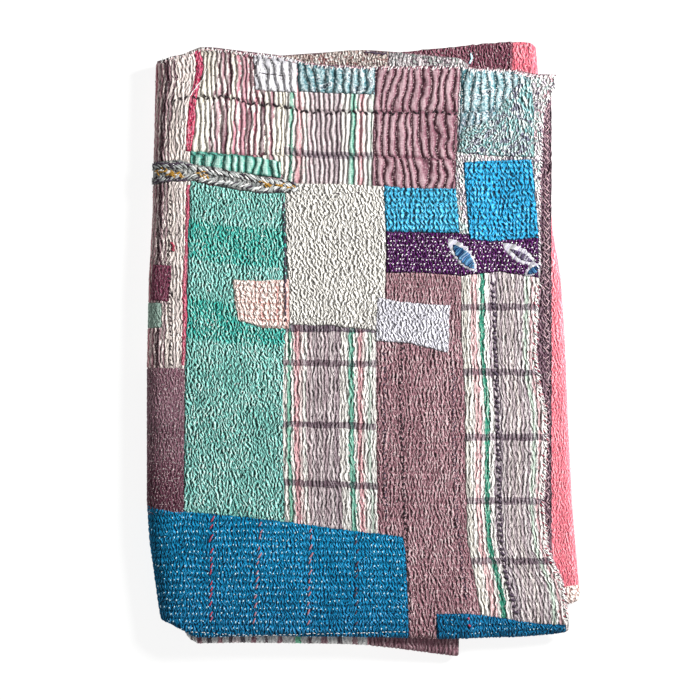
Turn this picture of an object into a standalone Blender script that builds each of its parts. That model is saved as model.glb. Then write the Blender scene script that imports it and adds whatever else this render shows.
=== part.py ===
"""A kantha quilt, folded for the shelf and lying on a flat surface.

The quilt is one cloth. It is folded in half across its width, which puts a fold along the
stack's front edge and its two hems along the back edge. The doubled cloth is then folded like
a book, twice: the outer fold is on the left, and inside it lie the right fold and the inner
left fold. That makes four doubled layers, eight plies.

    cover   the top layer, from its free hem on the right to the outer fold on the left
    base    the bottom layer, from the outer fold to the right fold
    lining  the layer on the base, from the right fold to the inner fold
    heart   the layer under the cover, from the inner fold to the quilt's other free hem

Metres, +Z up. X runs across the stack, Y from its front fold to its hems, and the origin is
the middle of the stack where it touches the surface. The tables are in millimetres.
"""

import math

import bpy
import numpy as np

MM = 0.001

# One ply of the quilted cloth, and the step from one ply to the next in the stack.
PLY_THICKNESS = 2.6
PLY_STEP = 4.2
HALF_STEP = PLY_STEP / 2
OUTER_REACH = HALF_STEP + PLY_THICKNESS / 2

# Heights of the middle of each doubled layer.
BASE_HEIGHT = PLY_THICKNESS / 2 + HALF_STEP
LINING_HEIGHT = BASE_HEIGHT + 2 * PLY_STEP
HEART_HEIGHT = LINING_HEIGHT + 2 * PLY_STEP
COVER_HEIGHT = HEART_HEIGHT + 2 * PLY_STEP

# The outer fold is a soft wide nose, and the two folds inside it are tight and round.
OUTER_FOLD_DEPTH = 26.0
TIGHT_FOLD_RADIUS = PLY_STEP

# Where the cover has nothing under it, it comes down onto the lining in a soft step.
STEP_CLEARANCE = 6.0
STEP_LENGTH = 32.0
STEP_DROP = 2 * PLY_STEP

# The cover's swells fade out over this length next to the outer fold.
SWELL_FADE = 25.0

# A layer that reaches past the one below it hangs by this much for each square millimetre.
DROOP_RATE = 0.0056

# The sewn rows raise the cover's face into ribs, and a pulled thread pinches them at the back.
RIB_PITCH = 10.0
HEM_SETBACK = 3.0

# How far each layer reaches to the front fold and to the back hem, across the stack.
COVER_ENDS = (
    # x, front, back
    (-238, -296, 316),
    (-219, -299, 320),
    (-208, -305, 323),
    (-193, -312, 325),
    (-185, -316, 332),
    (-167, -316, 332),
    (-144, -315, 329),
    (-92, -314, 323),
    (-70, -315, 317),
    (-48, -315, 313),
    (12, -316, 311),
    (80, -318, 311),
    (122, -317, 309),
    (172, -316, 307),
    (188, -315, 303),
    (226, -311, 302),
)
HEART_ENDS = (
    # x, front, back
    (-199, -308, 312),
    (-193, -318, 314),
    (-183, -324, 316),
    (-128, -323, 321),
    (-59, -324, 326),
    (-15, -325, 329),
    (2, -326, 330),
    (30, -329, 328),
    (67, -334, 325),
    (94, -338, 322),
    (103, -339, 320),
    (113, -336, 315),
)
LINING_ENDS = (
    # x, front, back
    (-199, -308, 309),
    (30, -296, 326),
    (120, -289, 335),
    (167, -284, 339),
    (183, -282, 338),
    (191, -281, 334),
    (228, -280, 331),
    (236, -276, 331),
)
BASE_ENDS = (
    # x, front, back
    (-238, -296, 316),
    (-200, -299, 314),
    (230, -279, 330),
)

# How far each fold's nose and each free hem reaches to its side, from front to back.
COVER_HEM = (
    # y, x
    (-311, 226),
    (-275, 224),
    (-257, 220),
    (-239, 212),
    (-221, 204),
    (-184, 199),
    (-132, 201),
    (-64, 201),
    (-34, 194),
    (0, 191),
    (98, 194),
    (219, 197),
    (268, 200),
    (280, 208),
    (303, 212),
)
COVER_HEM_BELOW = (
    # y, x
    (-311, 224),
    (-221, 207),
    (303, 207),
)
OUTER_FOLD = (
    # y, x
    (-294, -223),
    (-260, -228),
    (-210, -235),
    (-166, -238),
    (-23, -238),
    (76, -236),
    (142, -232),
    (316, -228),
)
RIGHT_FOLD = (
    # y, x
    (-280, 236),
    (-266, 238),
    (-174, 230),
    (-73, 225),
    (10, 222),
    (81, 217),
    (127, 209),
    (307, 192),
    (331, 190),
)
INNER_FOLD = (
    # y, x
    (-308, -199),
    (309, -199),
)
HEART_HEM = (
    # y, x
    (-336, 105),
    (315, 116),
)

# Soft swells and hollows of the cover: where it is puffed by its gathers, raised over its
# braided seam, or tucked beside it.
COVER_SWELLS = (
    # x, y, reach across, reach along, height
    (-189, 260, 8, 80, -1.0),
    (-150, 192, 60, 10, 1.3),
    (-92, 278, 48, 32, 1.6),
    (10, 255, 46, 40, 1.4),
    (110, 262, 40, 34, 1.7),
    (178, 232, 26, 40, 1.3),
    (-30, 70, 60, 44, 1.2),
    (-150, -60, 46, 90, 1.3),
    (60, -130, 44, 70, 1.1),
    (-120, -250, 60, 40, 1.4),
    (150, -200, 34, 60, 1.2),
)

# The rows of points across the quilt's width, as shares of the way from front fold to hem.
# rib is half the height that the ribs stand at that row.
UPPER_ROWS = (
    # share, rib
    (0.000, 0.25),
    (0.050, 0.50),
    (0.110, 0.60),
    (0.200, 0.60),
    (0.310, 0.60),
    (0.430, 0.60),
    (0.550, 0.60),
    (0.660, 0.60),
    (0.760, 0.55),
    (0.790, 0.30),
    (0.815, 0.20),
    (0.850, 0.75),
    (0.905, 0.75),
    (0.935, 0.10),
    (0.965, 0.75),
    (1.000, 0.30),
)
LOWER_SHARES = (0.0, 0.12, 0.45, 1.0)
FRONT_FOLD_STEPS = 4

# How many steps each stretch of the section takes.
OUTER_FOLD_STEPS = 10
TIGHT_FOLD_STEPS = 6
HIDDEN_LAYER_STEPS = 8


def read(table, place, column=1):
    """Reads a table at some places, along straight lines between its rows."""
    rows = np.array(table, float)
    return np.interp(place, rows[:, 0], rows[:, column])


def along_edge(table, share):
    """How far an edge reaches sideways, at shares of its own length from front to back."""
    rows = np.array(table, float)
    return read(table, rows[0, 0] + share * (rows[-1, 0] - rows[0, 0]))


def ease(share):
    """A soft step from 0 to 1."""
    share = np.clip(share, 0, 1)
    return share * share * (3 - 2 * share)


def width_rows():
    """The rows of points from the upper hem round the front fold to the lower hem.

    Each has its share of the way to the hem, its angle round the front fold, and its rib."""
    upper = [(share, 0.0, rib) for share, rib in reversed(UPPER_ROWS)]
    fold = [
        (0.0, math.pi * step / FRONT_FOLD_STEPS, 0.0) for step in range(1, FRONT_FOLD_STEPS)
    ]
    lower = [(share, math.pi, 0.0) for share in LOWER_SHARES]
    return np.array(upper + fold + lower)


def layer(start, end, ends, height, facing, steps):
    """Stations along a layer: x, z, the facing's x and z, and the table of its ends.

    start and end hold an x for each row. facing is 1 where the upper ply is on top."""
    stations = []
    for step in range(steps + 1):
        x = start + (end - start) * step / steps
        stations.append((x, height, 0.0, facing, ends, ends, 0.0))
    return stations


def fold(nose, depth, low, high, side, downward, facing, tables, steps):
    """Stations round a fold, without its two ends, which are the layers' own.

    nose holds the furthest reach for each row. side is -1 for a fold on the left. facing is
    1 where the upper ply is outside the fold, and -1 where it is inside."""
    middle = nose - side * (depth + OUTER_REACH)
    rise = (high - low) / 2
    stations = []
    for step in range(1, steps):
        turn = math.pi * step / steps
        across, up = math.sin(turn), math.cos(turn) * (1 if downward else -1)
        normal = np.array((side * across / depth, up / rise))
        normal = facing * normal / np.linalg.norm(normal)
        x = middle + side * depth * across
        z = (low + high) / 2 + rise * up
        stations.append((x, z, normal[0], normal[1], *tables, step / steps))
    return stations


def stations_of(share, below):
    """Every station of the book fold, from the cover's free hem to the heart's.

    share is each row's share of the way to the hem, and below is how far it is on the lower ply."""
    hem = (1 - below) * along_edge(COVER_HEM, share) + below * along_edge(COVER_HEM_BELOW, share)
    outer = along_edge(OUTER_FOLD, share)
    right = along_edge(RIGHT_FOLD, share)
    inner = along_edge(INNER_FOLD, share)
    heart_hem = along_edge(HEART_HEM, share)
    outer_middle = outer + OUTER_FOLD_DEPTH + OUTER_REACH
    right_middle = right - TIGHT_FOLD_RADIUS - OUTER_REACH
    inner_middle = inner + TIGHT_FOLD_RADIUS + OUTER_REACH
    ribs = round(float(np.mean(hem - outer_middle)) / RIB_PITCH)

    cover = layer(hem, outer_middle, COVER_ENDS, COVER_HEIGHT, 1, 2 * ribs)
    base = layer(outer_middle, right_middle, BASE_ENDS, BASE_HEIGHT, -1, HIDDEN_LAYER_STEPS)
    lining = layer(right_middle, inner_middle, LINING_ENDS, LINING_HEIGHT, 1, HIDDEN_LAYER_STEPS)
    heart = layer(inner_middle, heart_hem, HEART_ENDS, HEART_HEIGHT, -1, HIDDEN_LAYER_STEPS)

    outer_fold = fold(
        outer, OUTER_FOLD_DEPTH, BASE_HEIGHT, COVER_HEIGHT, -1, True, 1,
        (COVER_ENDS, BASE_ENDS), OUTER_FOLD_STEPS,
    )
    right_fold = fold(
        right, TIGHT_FOLD_RADIUS, BASE_HEIGHT, LINING_HEIGHT, 1, False, 1,
        (BASE_ENDS, LINING_ENDS), TIGHT_FOLD_STEPS,
    )
    inner_fold = fold(
        inner, TIGHT_FOLD_RADIUS, LINING_HEIGHT, HEART_HEIGHT, -1, False, -1,
        (LINING_ENDS, HEART_ENDS), TIGHT_FOLD_STEPS,
    )
    return cover + outer_fold + base + right_fold + lining + inner_fold + heart, 2 * ribs


def droop(x, y, share):
    """How far a layer above the lining hangs where it reaches past the lining's outline."""
    front = np.maximum(read(LINING_ENDS, x, 1) - y, 0)
    back = np.maximum(y - read(LINING_ENDS, x, 2), 0)
    side = np.maximum(x - along_edge(RIGHT_FOLD, share), 0)
    return DROOP_RATE * (front**2 + back**2 + side**2)


def swell(x, y):
    """How far the cover stands above or below its plain height."""
    height = 0.0
    for middle_x, middle_y, across, along, rise in COVER_SWELLS:
        away = ((x - middle_x) / across) ** 2 + ((y - middle_y) / along) ** 2
        height = height + rise * np.exp(-away)
    return height


def centred(points):
    """Puts the middle of the stack over the origin."""
    for axis in (0, 1):
        points[:, :, axis] -= (points[:, :, axis].min() + points[:, :, axis].max()) / 2
    return points


def folded_points():
    """The middle of the cloth as a grid of points, in metres: stations by rows."""
    share, turn, rib = width_rows().T
    below = (1 - np.cos(turn)) / 2
    stations, cover_steps = stations_of(share, below)
    step_start = along_edge(HEART_HEM, share) + STEP_CLEARANCE
    cover_start = stations[cover_steps][0]
    points = np.zeros((len(stations), len(share), 3))
    for index, (x, z, facing_x, facing_z, first, second, blend) in enumerate(stations):
        front = (1 - blend) * read(first, x, 1) + blend * read(second, x, 1)
        back = (1 - blend) * read(first, x, 2) + blend * read(second, x, 2)
        hem = back - HEM_SETBACK * below
        start = front + OUTER_REACH
        y = start + share * (hem - start) - HALF_STEP * np.sin(turn)
        lift = HALF_STEP * np.cos(turn)
        if index <= cover_steps:
            lift = lift + rib * (1 if index % 2 else -1)
            z = z - STEP_DROP * ease((x - step_start) / STEP_LENGTH)
            z = z + swell(x, y) * ease((x - cover_start) / SWELL_FADE)
        above_lining = first in (COVER_ENDS, HEART_ENDS) and not blend
        hang = droop(x, y, share) if above_lining else 0.0
        points[index, :, 0] = x + facing_x * lift
        points[index, :, 1] = y
        points[index, :, 2] = z + facing_z * lift - hang
    return centred(points) * MM


def cotton():
    """Washed patchwork cotton, at its average colour."""
    material = bpy.data.materials.new("patchwork_cotton")
    material.use_nodes = True
    shader = material.node_tree.nodes["Principled BSDF"]
    shader.inputs["Base Color"].default_value = (0.42, 0.40, 0.42, 1)
    shader.inputs["Roughness"].default_value = 0.9
    shader.inputs["Metallic"].default_value = 0
    return material


def quilt():
    """The whole quilt: a flat grid, laid along the fold and given the cloth's thickness."""
    points = folded_points()
    bpy.ops.mesh.primitive_grid_add(
        x_subdivisions=points.shape[1] - 1, y_subdivisions=points.shape[0] - 1, size=1
    )
    cloth = bpy.context.object
    cloth.name = cloth.data.name = "kantha_quilt"
    cloth.data.vertices.foreach_set("co", points.reshape(-1))
    cloth.data.materials.append(cotton())
    cloth.data.shade_smooth()
    thickness = cloth.modifiers.new("ply thickness", "SOLIDIFY")
    thickness.thickness = PLY_THICKNESS * MM
    thickness.offset = 0
    return cloth


def main():
    for old in list(bpy.data.objects):
        bpy.data.objects.remove(old)
    collection = bpy.data.collections.new("kantha quilt")
    bpy.context.scene.collection.children.link(collection)
    cloth = quilt()
    for home in list(cloth.users_collection):
        home.objects.unlink(cloth)
    collection.objects.link(cloth)


main()
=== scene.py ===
# %% [markdown]
# # A folded kantha quilt
#
# A kantha quilt is old cotton cloth in layers, pieced from worn saris, checked lengths and
# patches, and sewn right through in rows of small running stitches. Each stitch pulls the cloth
# down, so the whole face stands up in little seeds and ribs. This quilt is folded and lies flat.
#
# The cells follow the order of the work: the frame, the fold, the cloth's relief, the finishes,
# the body of the quilt, its pieces one by one, the threads, and at the end light and camera.
# All lengths in the tables are millimetres, and `MM` turns them to metres.

# %% Load the frame
import math

import bpy
import numpy as np

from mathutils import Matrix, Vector
from mathutils.bvhtree import BVHTree


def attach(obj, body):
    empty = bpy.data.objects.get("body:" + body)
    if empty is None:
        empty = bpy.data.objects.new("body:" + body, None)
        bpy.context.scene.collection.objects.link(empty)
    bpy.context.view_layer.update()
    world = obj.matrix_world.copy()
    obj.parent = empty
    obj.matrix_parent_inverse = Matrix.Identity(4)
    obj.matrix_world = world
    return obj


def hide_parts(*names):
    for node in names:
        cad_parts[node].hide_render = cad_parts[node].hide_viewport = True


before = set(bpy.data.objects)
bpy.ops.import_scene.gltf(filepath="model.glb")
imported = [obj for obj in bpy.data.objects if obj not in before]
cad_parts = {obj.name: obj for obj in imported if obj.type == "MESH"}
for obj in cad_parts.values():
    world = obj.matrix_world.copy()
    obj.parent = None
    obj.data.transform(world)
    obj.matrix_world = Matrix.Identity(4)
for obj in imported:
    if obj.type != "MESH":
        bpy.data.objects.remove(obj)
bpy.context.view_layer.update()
MM = 0.001

# %% [markdown]
# ## The fold
#
# The quilt is folded in half across its width, which makes a fold along the front edge and puts
# both hems at the back. The doubled cloth is then folded like a book, twice. From the top down
# lie the cover, the heart, the lining and the base. The outer fold joins cover to base on the
# left, the right fold joins base to lining, and the inner fold joins lining to heart. A scan
# would give the same shape, but it can't be re-laid. Here the section is worked out from the
# cloth's thickness, and short tables say how far each layer reaches, as uneven as it lies.

# %% The cloth's sizes and the heights of its layers
PLY_THICKNESS = 2.6
PLY_STEP = 4.2
HALF_STEP = PLY_STEP / 2
OUTER_REACH = HALF_STEP + PLY_THICKNESS / 2
BASE_HEIGHT = PLY_THICKNESS / 2 + HALF_STEP
LINING_HEIGHT = BASE_HEIGHT + 2 * PLY_STEP
HEART_HEIGHT = LINING_HEIGHT + 2 * PLY_STEP
COVER_HEIGHT = HEART_HEIGHT + 2 * PLY_STEP
OUTER_FOLD_DEPTH = 26.0
TIGHT_FOLD_RADIUS = PLY_STEP
STEP_CLEARANCE = 6.0
STEP_LENGTH = 32.0
STEP_DROP = 2 * PLY_STEP
SWELL_FADE = 25.0
DROOP_RATE = 0.0056
HEM_SETBACK = 3.0
print("layers at", BASE_HEIGHT, LINING_HEIGHT, HEART_HEIGHT, COVER_HEIGHT, "mm")

# %% How far each layer reaches to the front fold and to the back hem
COVER_ENDS = (
    # x, front, back
    (-238, -296, 316), (-219, -299, 320), (-208, -305, 323), (-193, -312, 325), (-185, -316, 332),
    (-167, -316, 332), (-144, -315, 329), (-92, -314, 323), (-70, -315, 317), (-48, -315, 313),
    (12, -316, 311), (80, -318, 311), (122, -317, 309), (172, -316, 307), (188, -315, 303),
    (226, -311, 302),
)
HEART_ENDS = (
    # x, front, back
    (-199, -308, 312), (-193, -318, 314), (-183, -324, 316), (-128, -323, 321), (-59, -324, 326),
    (-15, -325, 329), (2, -326, 330), (30, -329, 328), (67, -334, 325), (94, -338, 322),
    (103, -339, 320), (113, -336, 315),
)
LINING_ENDS = (
    # x, front, back
    (-199, -308, 309), (30, -296, 326), (120, -289, 335), (167, -284, 339), (183, -282, 338),
    (191, -281, 334), (228, -280, 331), (236, -276, 331),
)
BASE_ENDS = (
    # x, front, back
    (-238, -296, 316), (-200, -299, 314), (230, -279, 330),
)

# %% How far each fold and each free hem reaches to its side, from front to back
COVER_HEM = (
    # y, x
    (-311, 226), (-275, 224), (-257, 220), (-239, 212), (-221, 204), (-184, 199), (-132, 201),
    (-64, 201), (-34, 194), (0, 191), (98, 194), (219, 197), (268, 200), (280, 208), (303, 212),
)
COVER_HEM_BELOW = (
    # y, x
    (-311, 224), (-221, 207), (303, 207),
)
OUTER_FOLD = (
    # y, x
    (-294, -223), (-260, -228), (-210, -235), (-166, -238), (-23, -238), (76, -236), (142, -232),
    (316, -228),
)
RIGHT_FOLD = (
    # y, x
    (-280, 236), (-266, 238), (-174, 230), (-73, 225), (10, 222), (81, 217), (127, 209), (307, 192),
    (331, 190),
)
INNER_FOLD = (
    # y, x
    (-308, -199), (309, -199),
)
HEART_HEM = (
    # y, x
    (-336, 105), (315, 116),
)
COVER_SWELLS = (
    # x, y, reach across, reach along, height
    (-189, 260, 8, 80, -1.0), (-150, 192, 60, 10, 1.3), (-92, 278, 48, 32, 1.6), (10, 255, 46, 40, 1.4),
    (110, 262, 40, 34, 1.7), (178, 232, 26, 40, 1.3), (-30, 70, 60, 44, 1.2), (-150, -60, 46, 90, 1.3),
    (60, -130, 44, 70, 1.1), (-120, -250, 60, 40, 1.4), (150, -200, 34, 60, 1.2),
)


# %% Read the tables
def read(table, place, column=1):
    """Reads a table at some places, along straight lines between its rows."""
    rows = np.array(table, float)
    return np.interp(place, rows[:, 0], rows[:, column])


def along_edge(table, share):
    """How far an edge reaches sideways, at shares of its own length from front to back."""
    rows = np.array(table, float)
    return read(table, rows[0, 0] + share * (rows[-1, 0] - rows[0, 0]))


def ease(share):
    """A soft step from 0 to 1."""
    share = np.clip(share, 0, 1)
    return share * share * (3 - 2 * share)


def swell(x, y):
    """How far the cover stands above or below its plain height."""
    height = 0.0
    for middle_x, middle_y, across, along, rise in COVER_SWELLS:
        away = ((x - middle_x) / across) ** 2 + ((y - middle_y) / along) ** 2
        height = height + rise * np.exp(-away)
    return height


def droop(x, y):
    """How far a layer above the lining hangs where it reaches past the lining's outline."""
    front = np.maximum(read(LINING_ENDS, x, 1) - y, 0)
    back = np.maximum(y - read(LINING_ENDS, x, 2), 0)
    side = np.maximum(x - read(RIGHT_FOLD, y), 0)
    return DROOP_RATE * (front**2 + back**2 + side**2)


# %% [markdown]
# ## A face of the folded cloth
#
# Every patch is sewn to a face of the cloth, and some patches go round a fold. So one function
# takes a place on the cloth, as a tailor would chalk it on the flat, and gives the point in the
# room. `x` runs across and `y` along. Past a fold's start, the distance is measured round the
# fold's outside, and then on along the layer below.

# %% The folds' outsides, measured along their own curve
FOLD_ANGLES = np.linspace(0, math.pi, 181)


def fold_curve(depth, low, high):
    """A fold's outside: its length so far and its reach past the fold's start, at each angle."""
    rise = (high - low) / 2
    across, up = np.sin(FOLD_ANGLES), np.cos(FOLD_ANGLES)
    facing = np.stack((across / depth, up / rise))
    facing = facing / np.linalg.norm(facing, axis=0)
    reach = depth * across + OUTER_REACH * facing[0]
    height = rise * up + OUTER_REACH * facing[1]
    steps = np.hypot(np.diff(reach), np.diff(height))
    return np.concatenate(((0.0,), np.cumsum(steps))), reach


FACES = {
    # face: fold, depth, low, high, side, ends, ends past the fold
    "cover": (OUTER_FOLD, OUTER_FOLD_DEPTH, BASE_HEIGHT, COVER_HEIGHT, -1, COVER_ENDS, BASE_ENDS),
    "lining": (RIGHT_FOLD, TIGHT_FOLD_RADIUS, BASE_HEIGHT, LINING_HEIGHT, 1, LINING_ENDS, BASE_ENDS),
    "heart": (INNER_FOLD, TIGHT_FOLD_RADIUS, LINING_HEIGHT, HEART_HEIGHT, -1, HEART_ENDS, LINING_ENDS),
}
for face_name, (_, depth, low, high, *_) in FACES.items():
    print(face_name, "goes round its fold in", round(fold_curve(depth, low, high)[0][-1], 1), "mm")


# %% From a place on the cloth to a point in the room
def cloth_point(face, x, y, lift):
    """The points at some places on a face, raised by lift from the cloth's outside."""
    table, depth, low, high, side, ends, ends_past = FACES[face]
    lengths, _ = fold_curve(depth, low, high)
    middle = read(table, y) - side * (depth + OUTER_REACH)
    past = side * (x - middle)
    turn = np.interp(past, lengths, FOLD_ANGLES)
    under = np.maximum(past - lengths[-1], 0)
    flat = past <= 0
    across, up = np.sin(turn), np.cos(turn)
    rise = (high - low) / 2
    facing = np.stack((side * across / depth, up / rise))
    facing = facing / np.linalg.norm(facing, axis=0)
    layer_x = np.where(flat, x, middle + side * (depth * across - under))
    layer_z = np.where(flat, high, (low + high) / 2 + rise * up)
    front = (1 - turn / math.pi) * read(ends, layer_x) + turn / math.pi * read(ends_past, layer_x)
    start = front + OUTER_REACH
    round_front = np.clip((start - y) / OUTER_REACH, 0, math.pi)
    reach = OUTER_REACH + lift
    layer_y = np.where(y < start, start - reach * np.sin(round_front), y)
    if face == "cover":
        step_start = read(HEART_HEM, y) + STEP_CLEARANCE
        settle = ease(-past / SWELL_FADE)
        layer_z = layer_z - STEP_DROP * ease((x - step_start) / STEP_LENGTH)
        layer_z = layer_z + settle * (swell(x, layer_y) - droop(x, layer_y))
    if face == "heart":
        layer_z = layer_z - droop(layer_x, layer_y)
    out = reach * np.cos(round_front)
    return np.stack((layer_x + facing[0] * out, layer_y, layer_z + facing[1] * out), axis=-1)


def on_cloth(face, x, y):
    """Where a place seen from straight above is on the face, measured along the cloth."""
    table, depth, low, high, side, ends, _ = FACES[face]
    lengths, reaches = fold_curve(depth, low, high)
    middle = read(table, y) - side * (depth + OUTER_REACH)
    past = side * (x - middle)
    half = len(FOLD_ANGLES) // 2
    round_fold = np.interp(past, reaches[: half + 1], lengths[: half + 1])
    round_fold = round_fold + np.maximum(past - reaches[half], 0)
    cloth_x = np.where(past > 0, middle + side * round_fold, x)
    start = read(ends, x) + OUTER_REACH
    past = start - y
    round_front = OUTER_REACH * np.arcsin(np.clip(past / OUTER_REACH, 0, 1))
    round_front = round_front + np.maximum(past - OUTER_REACH, 0)
    cloth_y = np.where(past > 0, start - round_front, y)
    return cloth_x, cloth_y


# %% [markdown]
# ## Places in the photograph
#
# The pieces are placed by where their edges lie in the straight-down photograph. One step of
# the photograph is 1.1 mm, which makes half of a 1.27 m wide quilt of the length that shows.

# %% From the photograph to the cloth
PHOTO_STEP = 1.1
CHALK_POINTS = 61
PHOTO_MIDDLE = (363.65, 348.95)


def from_photo(line):
    """Turns a line of places in the photograph to millimetres, x to the right and y up."""
    places = np.array(line, float)
    x = (places[:, 0] - PHOTO_MIDDLE[0]) * PHOTO_STEP
    y = (PHOTO_MIDDLE[1] - places[:, 1]) * PHOTO_STEP
    return np.stack((x, y), axis=-1)


def share_along(line, share):
    """The points at some shares of a line's length."""
    steps = np.hypot(*np.diff(line, axis=0).T)
    length = np.concatenate(((0.0,), np.cumsum(steps)))
    place = share * length[-1]
    return np.stack((np.interp(place, length, line[:, 0]), np.interp(place, length, line[:, 1])), -1)


def chalk_line(face, line):
    """A photograph's line drawn on the cloth, in small steps."""
    fine = share_along(from_photo(line), np.linspace(0, 1, CHALK_POINTS))
    return np.stack(on_cloth(face, fine[:, 0], fine[:, 1]), axis=-1)


# %% [markdown]
# ## The relief
#
# Running stitches lie in rows, and along a row the thread dips every few millimetres. Between
# the dips the cloth stands up in puckers: short wavy ridges that mostly run along the cloth, with
# thin dark creases between them. Where the rows are far apart the ridges run on as ruffles. Two
# lines of gathering thread cross the ruffles, and at each line the ribs are set over by half a
# rib. The height is real geometry, because these bumps are what the eye reads first. Each point
# keeps its count of ribs and how far the cloth can rise there. Geometry Nodes raise the points
# from that, and the finish draws the same puckers sharper than a mesh can, as bumps and as painted
# shade in the grooves and painted highlights on the tops. The cloth's own weave is far finer, and
# is left to the materials.

# %% A slow random drift
LATTICE = (97, 89)
LATTICE_START = 500


def drift(x, y, reach_x, reach_y, seed):
    """A smooth random number from -1 to 1 that changes over some millimetres."""
    lattice = np.random.default_rng(seed).uniform(-1, 1, LATTICE)
    a, b = x / reach_x + LATTICE_START, y / reach_y + LATTICE_START
    i, j = np.floor(a).astype(int), np.floor(b).astype(int)
    s, t = ease(a - i), ease(b - j)
    (i0, i1), (j0, j1) = ((n % size, (n + 1) % size) for n, size in zip((i, j), LATTICE))
    near = (1 - s) * lattice[i0, j0] + s * lattice[i1, j0]
    far = (1 - s) * lattice[i0, j1] + s * lattice[i1, j1]
    return (1 - t) * near + t * far


# %% The ways the stitches gather the cloth
GATHER_SIZES = ("order", "height", "grain", "straight", "rib", "row", "pinch", "lean")
GATHER_WAYS = {
    # order runs from loose puckers at 0 to straight ribs at 1, and lengths are millimetres
    "seeds": (0.0, 1.9, (4.2, 4.4), 0.52, 5.0, 7.8, 0.05, 0.3),
    "slants": (0.0, 1.8, (3.5, 4.0), 0.55, 5.0, 9.5, 0.08, 0.3),
    "knit": (0.0, 1.95, (3.7, 4.6), 0.55, 5.0, 9.5, 0.08, 0.3),
    "blocks": (0.08, 1.8, (5.0, 4.4), 0.55, 5.2, 6.2, 0.5, 0.3),
    "close": (0.05, 1.5, (3.3, 3.4), 0.45, 4.4, 7.6, 0.5, 0.2),
    "fine": (0.0, 0.8, (3.4, 4.4), 0.65, 4.0, 5.6, 0.15, 0.3),
    "ribs": (0.14, 1.5, (4.4, 6.4), 0.78, 4.3, 9.0, 0.15, 0.3),
    "narrow": (0.08, 1.5, (3.9, 5.0), 0.75, 4.4, 8.0, 0.15, 0.4),
    "ruffles": (0.54, 2.6, (4.2, 4.8), 0.70, 8.8, 0, 0.45, 0.45),
    "crumple": (0.40, 2.2, (4.2, 4.6), 0.55, 8.8, 0, 0.35, 0.35),
    "pleats": (0.44, 2.0, (4.6, 6.0), 0.75, 5.6, 0, 0.45, 0.3),
    "plait": (0.3, 0.6, (4.0, 4.0), 0.60, 5.2, 9.5, 0.2, 0.0),
}
GATHERS = {name: dict(zip(GATHER_SIZES, sizes)) for name, sizes in GATHER_WAYS.items()}
GATHER_LINES = (
    # the two lines of gathering thread, as x and y of their points
    ((-208, 273), (-180, 277), (-147, 276), (-125, 270), (-86, 266), (-59, 261), (106, 260), (200, 262)),
    ((-208, 214), (10, 212), (106, 208), (200, 206)),
)
RUFFLE_LENGTH = 50.0
ROW_WANDER = 0.3
RIB_WANDER = 0.6
RIB_CRUMPLE = 0.28
LEAN_GAIN = 1.8
ROW_DIP_WIDTH = 0.17
LINE_DIP_WIDTH = 0.05
MEAN_FREEDOM = 0.84
FREEDOM_CHANGE = 0.16


def row_phase(x, y, gather, seed):
    """Counts the rows along the cloth. A whole number is a row of stitches."""
    if gather["row"]:
        return y / gather["row"] + ROW_WANDER * drift(x, y, 22, 40, seed + 1)
    upper, lower = (read(line, x) for line in GATHER_LINES)
    above = 2 + (y - upper) / RUFFLE_LENGTH
    between_lines = 1 + (y - lower) / (upper - lower)
    below = 1 + (y - lower) / RUFFLE_LENGTH
    return np.where(y > upper, above, np.where(y > lower, between_lines, below))


def rib_phase(x, y, gather, seed):
    """Counts the ribs across the cloth. A whole number is the bottom of a groove."""
    row = gather["row"] or RUFFLE_LENGTH
    rows = row_phase(x, y, gather, seed)
    row_number = np.floor(rows)
    leaning = np.clip(LEAN_GAIN * drift(x, row_number * row, 15, 2.4 * row, seed + 4), -1, 1)
    set_over = 0.0 if gather["row"] else 0.5 * row_number
    straight = x / gather["rib"] + set_over + RIB_WANDER * drift(x, y, 70, 80, seed + 5)
    crumple = drift(x, y, 19, 28, seed) + drift(x, y, 1.7 * gather["rib"], 17, seed + 12)
    return straight + gather["lean"] * leaning * (rows - row_number - 0.5) + RIB_CRUMPLE * crumple


def freedom(x, y, gather, seed):
    """How far the cloth can rise, from 0 to 1: less where a row of stitches holds it."""
    rows = row_phase(x, y, gather, seed)
    dip_width = ROW_DIP_WIDTH if gather["row"] else LINE_DIP_WIDTH
    held = gather["pinch"] * np.exp(-(((rows - np.round(rows)) / dip_width) ** 2))
    uneven = drift(x, y, 2 * gather["rib"], 14, seed + 3)
    return (1 - held) * (MEAN_FREEDOM + FREEDOM_CHANGE * uneven)


print("gathers", {name: gather["grain"] for name, gather in GATHERS.items()})

# %% [markdown]
# ## The finishes
#
# All the cloth is old plain-weave cotton, washed soft. It has no gloss: it is rough, with a faint
# fuzz that catches light at a slant, which is what the sheen stands for. Slubs and fading make
# each colour uneven. Each finish paints shade into the grooves and paints highlights on top of the
# seeds, from the relief that the geometry keeps in an attribute. Small flecks of bare thread show,
# and some finishes paint the grooves' shade in a dark colour of their own. A thread is about 0.3 mm
# thick, finer than the picture can show, so the weave is drawn about three times as coarse.

# %% Helpers for colours, nodes and finishes
def linear(code):
    """Turns an sRGB hex colour to linear red, green, blue and alpha."""
    parts = [int(code[start : start + 2], 16) / 255 for start in (0, 2, 4)]
    return [p / 12.92 if p <= 0.04045 else ((p + 0.055) / 1.055) ** 2.4 for p in parts] + [1.0]


def add(tree, kind, settings=None, inputs=()):
    """Adds a node with its settings, and sets or links its inputs, by name or in their order.

    settings may be just an operation. A node among the inputs stands for its first output."""
    node = tree.nodes.new(kind)
    settings = {"operation": settings} if isinstance(settings, str) else settings or {}
    for name, value in settings.items():
        setattr(node, name, value)
    for name, value in inputs.items() if isinstance(inputs, dict) else enumerate(inputs):
        if isinstance(value, bpy.types.Node):
            value = value.outputs[0]
        if isinstance(value, bpy.types.NodeSocket):
            tree.links.new(value, node.inputs[name])
        else:
            node.inputs[name].default_value = value
    return node


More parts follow.
